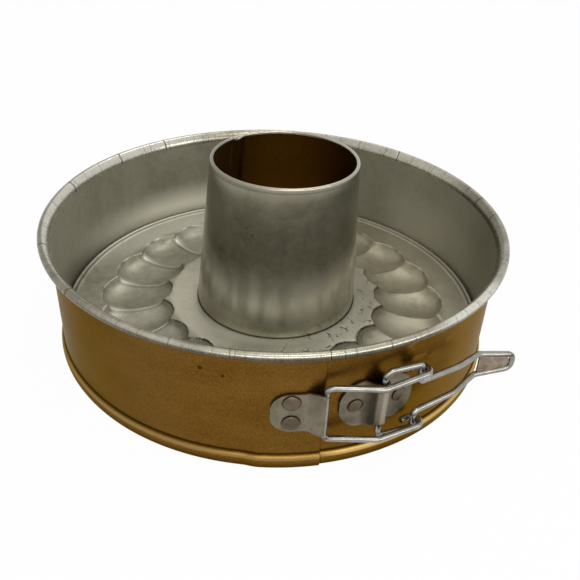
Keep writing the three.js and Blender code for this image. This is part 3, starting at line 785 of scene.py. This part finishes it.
mid = INNER_R + BAND_SHEET / 2
foot = smooth_line(FOOT, 5)
foot[:, 1] = np.maximum(foot[:, 1], BAND_SHEET / 2)
crease = np.array([(mid - 0.1, 8.8), (mid, 9.4)])
roll = arc((INNER_R + RIM_OUT - RIM_R, PAN_H - RIM_R), RIM_R - BAND_SHEET / 2, 135, -125, 36)
flare = arc((mid + FLARE_R, 0), FLARE_R, 180, 135, 8)
flare[:, 1] += roll[0, 1] - (roll[0, 0] - flare[-1, 0]) - flare[-1, 1]
wall = np.stack([np.full(9, mid), np.linspace(11, flare[0, 1] - 1, 9)], axis=1)
band_path = np.vstack([foot, crease, wall, flare, roll])
curl_start = len(band_path) - len(roll) - len(flare)
band_outline = sheet_outline(band_path, BAND_SHEET)
print("band section of", len(band_outline), "points")

# %% [markdown]
# The strip bends when the clasp opens, but its solids are two stiff halves. So the skin is made in three
# lengths. The left and the right one follow their half, and the back one stays fixed between them. The
# section is carried round by angle: at the lap it steps outward, all but its rim, and elsewhere it waves
# a little.

# %% Sweeping the band
JOGGLE_DEG = 13.0
RAMP_DEG = 4.0
FLUSH_TOP = 68.0
FLUSH_DEPTH = 3.5
WAVE = 0.11


def lap_shift(deg):
    into = np.clip((deg + JOGGLE_DEG + RAMP_DEG) / RAMP_DEG, 0, 1)
    return LAP_STEP * into * into * (3 - 2 * into)


def wavy(deg, z):
    """Shallow waves of a wall that has been knocked about, never outward, and none at the clasp."""
    a = np.radians(deg)
    calm = np.clip(np.abs((deg + 180) % 360 - 180) / 30 - 1, 0, 1)
    wave = np.sin(3 * a + 0.6) + 0.7 * np.sin(7 * a + 2.1) + 0.5 * np.sin(11 * a + z / 19)
    return -WAVE * calm * (wave + 2.2) / 2


def band_length(name, degs, shift=lambda deg: 0.0):
    radii, heights = band_outline.T
    flush = np.clip((FLUSH_TOP - heights) / FLUSH_DEPTH, 0, 1)
    rings = [polar(deg, radii + (shift(deg) * flush + wavy(deg, heights)), heights) for deg in degs]
    points, faces, kinds = swept(np.array(rings))
    inner_side = range(len(band_path))
    which = [(2 if kind >= curl_start else 0) if kind in inner_side else 1 for kind in kinds]
    return make_piece(name, points, faces, [wall_tin, lacquer, rim_tin], which, 50)


print("the lap steps out by", float(lap_shift(0.0)), "mm")

# %% [markdown]
# Each length is swept in steps of a degree, finer on the ramp of the lap. Behind the lap the right end
# goes on as a plain tongue.

# %% Band lengths
BUTT_DEG = math.degrees(GAP / WALL_R)
BACK_DEG = 150.0
TONGUE_DEG = 4.0
left_degs = np.concatenate([
    np.arange(-BACK_DEG, -JOGGLE_DEG - RAMP_DEG, 1.0),
    np.arange(-JOGGLE_DEG - RAMP_DEG, -JOGGLE_DEG, 0.5),
    np.arange(-JOGGLE_DEG, 0.01, 1.0),
])
band_left = band_length("band_left_skin", left_degs, lap_shift)
right_degs = np.concatenate([[BUTT_DEG], np.arange(1.0, BACK_DEG + 0.01, 1.0)])
band_right = band_length("band_right_skin", right_degs)
back_degs = np.arange(BACK_DEG, 360 - BACK_DEG + 0.01, 1.0)
band_back = band_length("band_back_skin", back_degs)

tongue_outline = sheet_outline([(mid, 9.1), (mid, 30.0), (mid, flare[0, 1] - 1)], BAND_SHEET)
tongue_rings = [polar(deg, *tongue_outline.T) for deg in np.linspace(-TONGUE_DEG, BUTT_DEG, 5)]
points, faces, kinds = swept(np.array(tongue_rings))
which = [0 if kind in (0, 1) else 1 for kind in kinds]
tongue = make_piece("band_tongue", points, faces, [wall_tin, lacquer], which)

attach(band_left, "band_left")
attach(band_right, "band_right")
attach(tongue, "band_right")
edge = WALL_R * math.cos(math.radians(BACK_DEG - 90)) * MM
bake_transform(band_back)
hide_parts("band_left")
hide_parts("band_right")
print("band:", [len(o.data.polygons) for o in (band_left, band_right, band_back, tongue)], "faces")

# %% [markdown]
# ## Trees that shape things
# A Geometry Nodes tree is a recipe with named sizes. The same signals work there, because the Math
# nodes are shared. A helper makes a tree with its inputs, and another runs a tree on an object once and
# keeps only the plain mesh, because a live tree would not travel with the part.

# %% Tree helpers
def new_tree(name, sizes):
    """A tree with a geometry input and a number, or a material, for each named size."""
    tree = bpy.data.node_groups.new(name, "GeometryNodeTree")
    tree.interface.new_socket("Geometry", in_out="INPUT", socket_type="NodeSocketGeometry")
    keys = {}
    for size, value in sizes.items():
        kind = {int: "Int", float: "Float"}.get(type(value), "Material")
        socket = tree.interface.new_socket(size, in_out="INPUT", socket_type="NodeSocket" + kind)
        keys[size] = socket.identifier
    tree.interface.new_socket("Geometry", in_out="OUTPUT", socket_type="NodeSocketGeometry")
    board = Board(tree)
    inputs = {size: board.node("NodeGroupInput", output=size) for size in ("Geometry", *sizes)}
    return tree, board, inputs, keys


def close_tree(board, shape, finish):
    """Every tree ends the same way: real meshes, then the material."""
    real = board.node("GeometryNodeRealizeInstances", None, {0: shape})
    painted = board.node("GeometryNodeSetMaterial", None, {"Geometry": real, "Material": finish})
    board.node("NodeGroupOutput", None, {0: painted})


def settled(obj, crease=None):
    """The plain mesh that an object's modifiers make, in an object that takes its place."""
    seen = obj.evaluated_get(bpy.context.evaluated_depsgraph_get())
    mesh = bpy.data.meshes.new_from_object(seen)
    name = obj.name
    bpy.data.objects.remove(obj)
    mesh.name = name
    if crease:
        smooth_up_to(crease, mesh)
    made = bpy.data.objects.new(name, mesh)
    scene.collection.objects.link(made)
    return made


def run_tree(obj, tree, keys, sizes, crease=40):
    """Runs a tree on an object with the given sizes, each set by its input's identifier."""
    step = obj.modifiers.new(tree.name, "NODES")
    step.node_group = tree
    for size, value in sizes.items():
        step[keys[size]] = value
    return settled(obj, crease)


print("tree helpers ready")

# %% [markdown]
# ## The base plate
# The base starts as a plain disc: a ring round the tube, a slope, a flat rim, a raised edge and a skirt
# that stands on the band's lip. The tube stands a little off the middle, so the ring's hole is moved
# with it.

# %% Plain disc
BASE_SHEET = 0.8
BASE_TOP = 14.0
BASE_R = INNER_R - 1.2
HOLE_R = 46.1
COLUMNS_PER_FLUTE = 16
tube_way = polar(79.0, 1.0, 0.0)
foot_off = 1.3 * tube_way

ring_z = RING_TOP - BASE_SHEET / 2
flat_z = BASE_TOP - BASE_SHEET / 2
skirt_r = BASE_R - BASE_SHEET / 2
slope_r = np.linspace(FLUTE_IN - 1, FLUTE_OUT + 1, 52)
slope_z = np.interp(slope_r, [FLUTE_IN, FLUTE_OUT], [ring_z, flat_z])
edge = [
    (113.6, 0.0), (114.5, 0.15), (115.3, 0.85), (116.1, 0.8), (116.8, 0.45),
    (117.4, 1.25), (118.0, 1.5), (118.5, 1.1), (118.68, 0.2), (skirt_r, -1.2),
]
base_path = np.vstack([
    [(HOLE_R, ring_z - 0.25), (HOLE_R + 1.2, ring_z), (52.0, ring_z), (56.0, ring_z)],
    np.stack([slope_r, slope_z], axis=1),
    [(104.5, flat_z), (108.0, flat_z)],
    smooth_line([(r, flat_z + rise) for r, rise in edge], 3),
    [(skirt_r, 9.0), (skirt_r, 4.0), (skirt_r, 0.9)],
])
base_outline = sheet_outline(base_path, BASE_SHEET)
columns = FLUTES * COLUMNS_PER_FLUTE
shift = np.interp(base_outline[:, 0], [HOLE_R + 2, FLUTE_IN - 2], [1.0, 0.0])[:, None] * foot_off
base_rings = np.array([polar(360 * i / columns, *base_outline.T) + shift for i in range(columns)])
points, faces, _ = swept(base_rings, looped=True)
disc = make_piece("base_plate_skin", points, faces, [base_tin])
print("disc of", len(faces), "faces")

# %% [markdown]
# A press then sinks the flutes, and a tree is a good press, because one rule places every flute. A
# flute is a long dish. Its depth falls to nothing along an oval, and because neighbours overlap a
# little, a sharp crest is left between them that sags in the middle.

# %% Pressing the flutes
FLUTE_DEPTH = 7.5
flute_sizes = {
    "Flutes": FLUTES, "First Turn": FLUTE_TURN, "Inner Radius": FLUTE_IN * MM,
    "Outer Radius": FLUTE_OUT * MM, "Depth": FLUTE_DEPTH * MM, "Overlap": FLUTE_LAP, "Finish": base_tin,
}
press, board, size, keys = new_tree("press_flutes", flute_sizes)
here = board.node("GeometryNodeInputPosition")
x, y = board.axes(here)[:2]
oval_sizes = ("Flutes", "First Turn", "Inner Radius", "Outer Radius", "Overlap")
oval, _ = flute_oval(x, y, *(size[name] for name in oval_sizes))
dish = oval.maths("MAXIMUM", oval, 0.0).one("SQRT")
drop = board.node("ShaderNodeCombineXYZ", None, {"Z": dish * size["Depth"] * -1})
pressed = board.node("GeometryNodeSetPosition", None, {"Geometry": size["Geometry"], "Offset": drop})
close_tree(board, pressed, size["Finish"])
base_plate = run_tree(disc, press, keys, flute_sizes, 62)
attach(base_plate, "base")
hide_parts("base_plate")
print("base plate:", len(base_plate.data.polygons), "faces,", FLUTES, "flutes")

# %% [markdown]
# ## The centre tube
# The tube is a strip rolled into a cone, lapped down one side and hemmed inward at the top. Its foot is
# flanged under the base. Sweeping the sheet a little more than one turn, with the last degrees stepped
# inward, gives the lap as it is really made. Outside it is tin, inside it is browned lacquer.

# %% Tube
TUBE_SHEET = 0.7
TUBE_FOOT_R = 45.8
TUBE_TOP_R = 39.6
TUBE_TOP = 102.1
HEM_R = 1.0
LAP_AT = -150.0
LAP_START = 355
LAP_RAMP = 5
LAP_TUCK = 0.78
NOTCH_AT = 364
NOTCH_WIDTH = 2.2
NOTCH = 0.9
top_off = 3.8 * tube_way
flange_z = RING_TOP - BASE_SHEET - GAP - TUBE_SHEET / 2
foot_r = TUBE_FOOT_R - TUBE_SHEET / 2
top_r = TUBE_TOP_R - TUBE_SHEET / 2
hem = arc((TUBE_TOP_R - HEM_R, TUBE_TOP - HEM_R), HEM_R - TUBE_SHEET / 2, 0, 235, 16)
tube_path = np.vstack([
    smooth_line([
        (TUBE_FOOT_R + 4, flange_z), (TUBE_FOOT_R + 1, flange_z),
        (foot_r, flange_z + 1.2), (foot_r, RING_TOP + 1),
    ], 4),
    np.linspace((foot_r, RING_TOP + 1), (top_r, TUBE_TOP - HEM_R), 14)[1:-1],
    hem,
])
radii, heights = sheet_outline(tube_path, TUBE_SHEET).T
rise = np.clip((heights - RING_TOP - 1) / (TUBE_TOP - RING_TOP - 1), 0, None)[:, None]
tube_rings = []
for deg in np.arange(0, 369.1, 1.5):
    step = np.clip((deg - LAP_START) / LAP_RAMP, 0, 1)
    tuck = -LAP_TUCK * step * step * (3 - 2 * step)
    notch = -NOTCH * np.exp(-((deg - NOTCH_AT) / NOTCH_WIDTH) ** 2) * (heights > TUBE_TOP - 3)
    ring = polar(LAP_AT + deg, radii + tuck, heights + notch)
    tube_rings.append(ring + foot_off * (1 - rise) + top_off * rise)
points, faces, kinds = swept(np.array(tube_rings))
lacquered = range(len(tube_path) - len(hem) + 6)
which = [1 if kind in lacquered else 0 for kind in kinds]
centre_tube = make_piece("centre_tube_skin", points, faces, [tube_tin, tube_lacquer], which, 50)
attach(centre_tube, "base")
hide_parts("centre_tube")
print("tube:", len(faces), "faces, inner faces:", sum(which))

# %% [markdown]
# ## The clasp's plates
# Two stamped plates carry the clasp. Each is a grid bent along the wall, whose height narrows towards
# its ends, thickened by Solidify, with its edges softened by Bevel. A plate's path gives its distance
# along the wall and its height above it.

# %% Bent plates
PLATE_ROWS = 15
SOFT_EDGE = 0.28


def grid_faces(columns, rows):
    """Faces of a grid whose points are listed column by column."""
    return [
        (i * rows + j, (i + 1) * rows + j, (i + 1) * rows + j + 1, i * rows + j + 1)
        for i in range(columns - 1) for j in range(rows - 1)
    ]


def thicken(obj, thickness):
    """Gives a sheet its thickness, half of it to each side."""
    thick = obj.modifiers.new("thickness", "SOLIDIFY")
    thick.thickness = thickness * MM
    thick.offset = 0.0
    return thick


def bent_plate(name, path, half_at):
    """A plate along a path; half_at gives how far it reaches below and above the clasp's middle."""
    grid = []
    for along, out in path:
        low, high = half_at(along)
        zs = CLASP_Z + np.interp(np.linspace(-1, 1, PLATE_ROWS), [-1, 1], [-low, high])
        grid.append(polar(math.degrees(along / WALL_R), WALL_R + out, zs))
    obj = make_piece(name, np.vstack(grid), grid_faces(len(path), PLATE_ROWS), [plate_steel])
    thicken(obj, PLATE).use_even_offset = True
    soft = obj.modifiers.new("soft_edges", "BEVEL")
    soft.width = SOFT_EDGE * MM
    soft.segments = 2
    soft.limit_method = "ANGLE"
    soft.angle_limit = math.radians(55)
    return settled(obj, 40)


def clamped(value):
    return min(max(value, 0), 1)


print("plates of", PLATE_ROWS, "rows")

# %% [markdown]
# The left plate has round corners at its outer end. At its inner end it rises to a lip over the link's
# bar, and there its top flares a little.

# %% Anchor plate
WIRE_R = 1.5
ANCHOR_LEN = 23.2
ANCHOR_HALF = 10.6
CORNER = 8.6
FLARE = 1.8
FLARE_START = -8.5
FLARE_RUN = 5.0
ANCHOR_BAR_H = LAP_STEP + GAP + PLATE + GAP + WIRE_R
CRADLE_R = WIRE_R + GAP + PLATE / 2
anchor_mid = LAP_STEP + GAP + PLATE / 2
ease = CORNER * (1 - np.cos(np.linspace(0, math.pi / 2, 10)))
lip = np.radians(np.linspace(112, 96, 3))
anchor_path = [(e - ANCHOR_LEN, anchor_mid) for e in ease]
anchor_path += [(along, anchor_mid) for along in np.linspace(10 - ANCHOR_LEN, -9, 5)]
climb = [(-8.0, anchor_mid), (-6.6, anchor_mid + 0.4), (-2.6, 5.5), (-1.0, 6.1)]
anchor_path += smooth_line(climb, 4)[:-1].tolist()
anchor_path += [(CRADLE_R * math.cos(a), ANCHOR_BAR_H + CRADLE_R * math.sin(a)) for a in lip]


def anchor_half(along):
    into = clamped((along + ANCHOR_LEN) / CORNER)
    half = ANCHOR_HALF - CORNER * (1 - math.sqrt(1 - (1 - into) ** 2))
    return half, half + FLARE * clamped((along - FLARE_START) / FLARE_RUN)


anchor_plate = bent_plate("anchor_plate_skin", anchor_path, anchor_half)
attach(anchor_plate, "band_left")
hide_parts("anchor_plate")
print("anchor plate:", len(anchor_plate.data.polygons), "faces")

# %% [markdown]
# The right plate is an oval with a hump that holds the lever's bar down. Its lower edge is cut back
# under the hump, so that the bar shows.

# %% Saddle plate
SADDLE_DEG = 12.1
SADDLE_BAR_H = 4.6
SADDLE_HALF = 13
HUMP_HALF = 7
EAR = 11.3
EAR_ROUND = 0.97
CUT_BACK = 3.5
CUT_WIDTH = 4.5
HUMP_R = WIRE_R + 0.2 + PLATE / 2
saddle_mid = math.radians(SADDLE_DEG) * WALL_R
saddle_low = GAP + PLATE / 2
ear = HUMP_HALF + EAR * np.sin(np.linspace(0, math.pi / 2, 12))
hump = np.radians(np.linspace(140, -5, 12))
saddle_path = [(saddle_mid - e, saddle_low) for e in ear[::-1]]
saddle_path += [(saddle_mid + HUMP_R * math.cos(a), SADDLE_BAR_H + HUMP_R * math.sin(a)) for a in hump]
saddle_path += [(saddle_mid + HUMP_R + 0.6, saddle_low + 0.8), (saddle_mid + HUMP_R + 1.6, saddle_low)]
saddle_path += [(saddle_mid + e, saddle_low) for e in ear]


def saddle_half(along):
    into = clamped((abs(along - saddle_mid) - HUMP_HALF) / EAR)
    half = SADDLE_HALF * math.sqrt(1 - (EAR_ROUND * into) ** 2)
    return half - CUT_BACK * math.exp(-((along - saddle_mid) / CUT_WIDTH) ** 2), half


saddle_plate = bent_plate("saddle_plate_skin", saddle_path, saddle_half)
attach(saddle_plate, "band_right")
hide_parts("saddle_plate")
print("saddle plate:", len(saddle_plate.data.polygons), "faces")

# %% [markdown]
# ## Rivets
# Each plate is held by two rivets. One rivet is turned from its profile at the front of the pan, and a
# tree copies it: every copy is turned round the pan's axis by a step and moved up by a step. The pair
# on the left plate stands one above the other, and the pair on the right plate sits side by side.

# %% Rivet tree
rivet_sizes = {
    "Count": 2, "First Turn": 0.0, "Turn Step": 0.0, "First Height": 0.0, "Height Step": 0.0,
    "Finish": rivet_steel,
}
rivet_tree, board, size, rivet_keys = new_tree("rivets_round_the_wall", rivet_sizes)
number = board.node("GeometryNodeInputIndex")
line = board.node("GeometryNodeMeshLine", None, {"Count": size["Count"], "Offset": (0.0, 0.0, 0.0)})
rise = size["First Height"] + number * size["Height Step"]
height = board.node("ShaderNodeCombineXYZ", None, {"Z": rise})
spots = board.node("GeometryNodeSetPosition", None, {"Geometry": line, "Offset": height})
turn = size["First Turn"] + number * size["Turn Step"]
turned = board.node("ShaderNodeCombineXYZ", None, {"Z": turn})
facing = board.node("FunctionNodeEulerToRotation", None, {0: turned})
joined = {"Geometry": size["Geometry"], "Distance": 1e-5}
whole = board.node("GeometryNodeMergeByDistance", None, joined)
copied = {"Points": spots, "Instance": whole, "Rotation": facing}
close_tree(board, board.node("GeometryNodeInstanceOnPoints", None, copied), size["Finish"])
print("rivet tree with", ", ".join(rivet_sizes))

# %% [markdown]
# A rivet has a tail clenched inside the pan, a shank through wall and plate, and a low dome for a head.

# %% Rivets
ROUNDS = 32
SHANK_R = 1.7
TAIL_R = 3.0
TAIL_OUT = 0.8


def rivet_pair(name, face, inside, head_r, head_h, places):
    """Two rivets from a plate's face to the inside of the wall, both given as radii."""
    seat = face + GAP
    tail = inside - TAIL_OUT
    dome = np.radians(np.linspace(12, 90, 7))
    profile = [(0.0, tail), (TAIL_R - 0.4, tail), (TAIL_R, tail + 0.2), (TAIL_R, tail + 0.5)]
    profile += [(SHANK_R, tail + 0.5), (SHANK_R, seat)]
    profile += [(head_r - 0.25, seat), (head_r, seat + 0.22 * head_h)]
    profile += [(head_r * math.cos(a), seat + head_h * math.sin(a)) for a in dome[1:]]
    across, out = np.array(profile).T
    m = len(profile)
    points = []
    faces = []
    for i in range(ROUNDS):
        a = 2 * math.pi * i / ROUNDS
        points.append(np.stack([across * math.cos(a), -out, across * math.sin(a)], axis=1))
        n, k = i * m, (i + 1) % ROUNDS * m
        faces += [(n + j, n + j + 1, k + j + 1, k + j) for j in range(1, m - 2)]
        faces += [(n, n + 1, k + 1), (n + m - 2, n + m - 1, k + m - 2)]
    blank = make_piece(name, np.vstack(points), faces, [rivet_steel])
    return run_tree(blank, rivet_tree, rivet_keys, dict(rivet_sizes, **places))


anchor_places = {
    "First Turn": math.radians(ANCHOR_RIVET_DEG), "First Height": ANCHOR_RIVET_Z * MM,
    "Height Step": ANCHOR_RIVET_STEP * MM,
}
anchor_rivets = rivet_pair(
    "anchor_rivets", ANCHOR_FACE_R, INNER_R + LAP_STEP, ANCHOR_HEAD_R, 1.0, anchor_places)
saddle_places = {
    "First Turn": math.radians(SADDLE_RIVET_DEG), "Turn Step": math.radians(SADDLE_RIVET_STEP),
    "First Height": CLASP_Z * MM,
}
saddle_rivets = rivet_pair("saddle_rivets", SADDLE_FACE_R, INNER_R, SADDLE_HEAD_R, 0.8, saddle_places)
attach(anchor_rivets, "band_left")
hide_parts("anchor_rivet_upper", "anchor_rivet_lower")
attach(saddle_rivets, "band_right")
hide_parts("saddle_rivet_left", "saddle_rivet_right")
print("rivets:", len(anchor_rivets.data.polygons), len(saddle_rivets.data.polygons), "faces")

# %% [markdown]
# ## The bent wires
# The link and the lever are wire bent at a few corners. A corner list is easy to read from the
# photograph: each corner has a place and a bend radius. The rounded line is worked out first, and a
# tree then draws the wire along it, with its gauge as a named size.

# %% Wire tree
def rounded(corners):
    """A dense line through (point, bend radius) corners."""
    line = [corners[0][0]]
    for (a, _), (p, r), (b, _) in zip(corners, corners[1:], corners[2:]):
        if r == 0:
            line.append(p)
            continue
        u = (a - p) / np.linalg.norm(a - p)
        v = (b - p) / np.linalg.norm(b - p)
        half = math.acos(max(-1, min(1, -u @ v))) / 2
        centre = p + (u + v) / np.linalg.norm(u + v) * r / math.cos(half)
        start, axis = p + u * r * math.tan(half) - centre, np.cross(u, v)
        axis /= np.linalg.norm(axis)
        steps = max(3, round(2 * half / math.radians(9)))
        for t in np.linspace(0, -2 * half, steps + 1):
            line.append(centre + start * math.cos(t) + np.cross(axis, start) * math.sin(t))
    line.append(corners[-1][0])
    return np.array(line)


wire_sizes = {"Gauge": 0.995 * WIRE_R * MM, "Sides": 18, "Finish": wire_steel}
wire_tree, board, size, wire_keys = new_tree("drawn_wire", wire_sizes)
path = board.node("GeometryNodeMeshToCurve", None, {0: size["Geometry"]})
round_section = {"Resolution": size["Sides"], "Radius": size["Gauge"]}
section = board.node("GeometryNodeCurvePrimitiveCircle", None, round_section)
along_path = {"Curve": path, "Profile Curve": section, "Fill Caps": True}
close_tree(board, board.node("GeometryNodeCurveToMesh", None, along_path), size["Finish"])


def draw_wire(name, line):
    mesh = bpy.data.meshes.new(name)
    mesh.from_pydata((line * MM).tolist(), [(i, i + 1) for i in range(len(line) - 1)], [])
    obj = bpy.data.objects.new(name, mesh)
    scene.collection.objects.link(obj)
    return run_tree(obj, wire_tree, wire_keys, wire_sizes, 45)


print("wire tree with", ", ".join(wire_sizes))

# %% [markdown]
# The link is a U that lies over the saddle. Its bar rests under the anchor's lip, its two strands bend
# at a knee, and each ends in a hook round one of the lever's cranks.

# %% Link
LINK_HALF = 15.4
LINK_FRONT_HALF = 14.8
LINK_BEND_DROP = 0.5
HOOK_R = 2 * WIRE_R + 0.5
HOOK_TAIL = 4.0
BAR_BEND = 3.2
KNEE_BEND = 5.0
KNEE_DEG = 11.0
KNEE_H = 10.0
CRANK_DEG = 20.2
CRANK_H = 6.6
bar_anchor = polar(0.0, WALL_R + ANCHOR_BAR_H, CLASP_Z)
crank = polar(CRANK_DEG, WALL_R + CRANK_H, CLASP_Z)
link_bend = polar(KNEE_DEG, WALL_R + KNEE_H, CLASP_Z)
up = np.array((0.0, 0.0, 1.0))
link_run = (crank - link_bend) / np.linalg.norm(crank - link_bend)
link_out = np.array((link_run[1], -link_run[0], 0.0))


def link_side(sign):
    lift = sign * LINK_HALF * up
    hook = [
        (crank + lift + HOOK_R * (link_out * math.cos(a) + link_run * math.sin(a)), 0)
        for a in np.linspace(0, math.pi, 15)
    ]
    tail = (crank + lift - HOOK_R * link_out - HOOK_TAIL * link_run, 0)
    bar_end = bar_anchor + (ANCHOR_RISE + sign * LINK_FRONT_HALF) * up
    knee = link_bend + (sign * LINK_FRONT_HALF - LINK_BEND_DROP) * up
    return [(bar_end, BAR_BEND), (knee, KNEE_BEND)] + hook + [tail]


link_line = rounded(link_side(1)[::-1] + link_side(-1))
link_wire = draw_wire("link_wire_skin", link_line)
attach(link_wire, "link")
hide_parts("link_wire")
print("link:", len(link_wire.data.polygons), "faces")

# %% [markdown]
# The lever starts and ends in the middle of its bar, under the saddle's hump. Each half runs out to a
# crank, comes back in to a leg, narrows to a neck and closes the grip loop at the tip. A corner has its
# place in plan, its distance from the clasp's middle and its bend radius.

# %% Lever
CRANK_HALF = LINK_HALF + 2 * WIRE_R + 0.5
LEG_HALF = 8.8
LEG_LEN = 24.2
LEG_DEG = 20.6
NECK_HALF = 8.1
NECK_LEN = 16.4
NECK_DEG = 33.0
GRIP_LEN = 18.5
GRIP_HALF = 6.3
TIP_HALF = 4.2
BAR_CUT = 0.15


def compass(deg):
    """A level direction, counted from +X towards the back."""
    return np.array((math.cos(math.radians(deg)), math.sin(math.radians(deg)), 0.0))


bar_saddle = polar(SADDLE_DEG, WALL_R + SADDLE_BAR_H, CLASP_Z)
grip_run = compass(0.0)
neck = crank + LEG_LEN * compass(LEG_DEG)
grip_start = neck + NECK_LEN * compass(NECK_DEG)
grip_tip = grip_start + GRIP_LEN * grip_run
lever_half = [
    (bar_saddle, CRANK_HALF, 4.0), (crank, CRANK_HALF, 2.0), (crank, LEG_HALF, 2.0),
    (neck, NECK_HALF, 10.0), (grip_start, GRIP_HALF, 7.0), (grip_tip, TIP_HALF, 3.7),
]
lever_corners = [(bar_saddle + BAR_CUT * up, 0)]
lever_corners += [(p + half * up, r) for p, half, r in lever_half]
lever_corners += [(p - half * up, r) for p, half, r in lever_half[::-1]]
lever_corners += [(bar_saddle - BAR_CUT * up, 0)]
lever_wire = draw_wire("lever_wire_skin", rounded(lever_corners))
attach(lever_wire, "lever")
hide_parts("lever_wire")
print("lever:", len(lever_wire.data.polygons), "faces")

# %% [markdown]
# ## The thumb plate
# A scrap of sheet fills the grip loop. It is crumpled, so it is a fine grid whose points are pushed to
# and fro a little, thickened into a closed plate that just clears the wire.

# %% Thumb plate
THUMB_COLUMNS = 34
THUMB_ROWS = 21
THUMB_CORNER = 2.6
CRUMPLE = 0.16
grip_out = np.array((grip_run[1], -grip_run[0], 0.0))
clear = WIRE_R + 0.05
grid = []
for along in np.linspace(0.9, GRIP_LEN - clear, THUMB_COLUMNS):
    half = np.interp(along, [0, GRIP_LEN], [GRIP_HALF, TIP_HALF]) - clear
    to_end = GRIP_LEN - clear - along
    if to_end < THUMB_CORNER:
        half -= THUMB_CORNER - math.sqrt(max(0.0, THUMB_CORNER**2 - (THUMB_CORNER - to_end) ** 2))
    for v in np.linspace(-1, 1, THUMB_ROWS):
        waves = math.sin(1.3 * along + 2.1 * v) * math.cos(2.3 * v + 0.4 * along)
        push = CRUMPLE * waves * (1 - v * v)
        grid.append(grip_start + along * grip_run + push * grip_out + v * half * up)
thumb = make_piece("thumb_plate_skin", grid, grid_faces(THUMB_COLUMNS, THUMB_ROWS), [thumb_steel])
thicken(thumb, PLATE)
thumb_plate = settled(thumb)
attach(thumb_plate, "lever")
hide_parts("thumb_plate")
print("thumb plate:", len(thumb_plate.data.polygons), "faces")
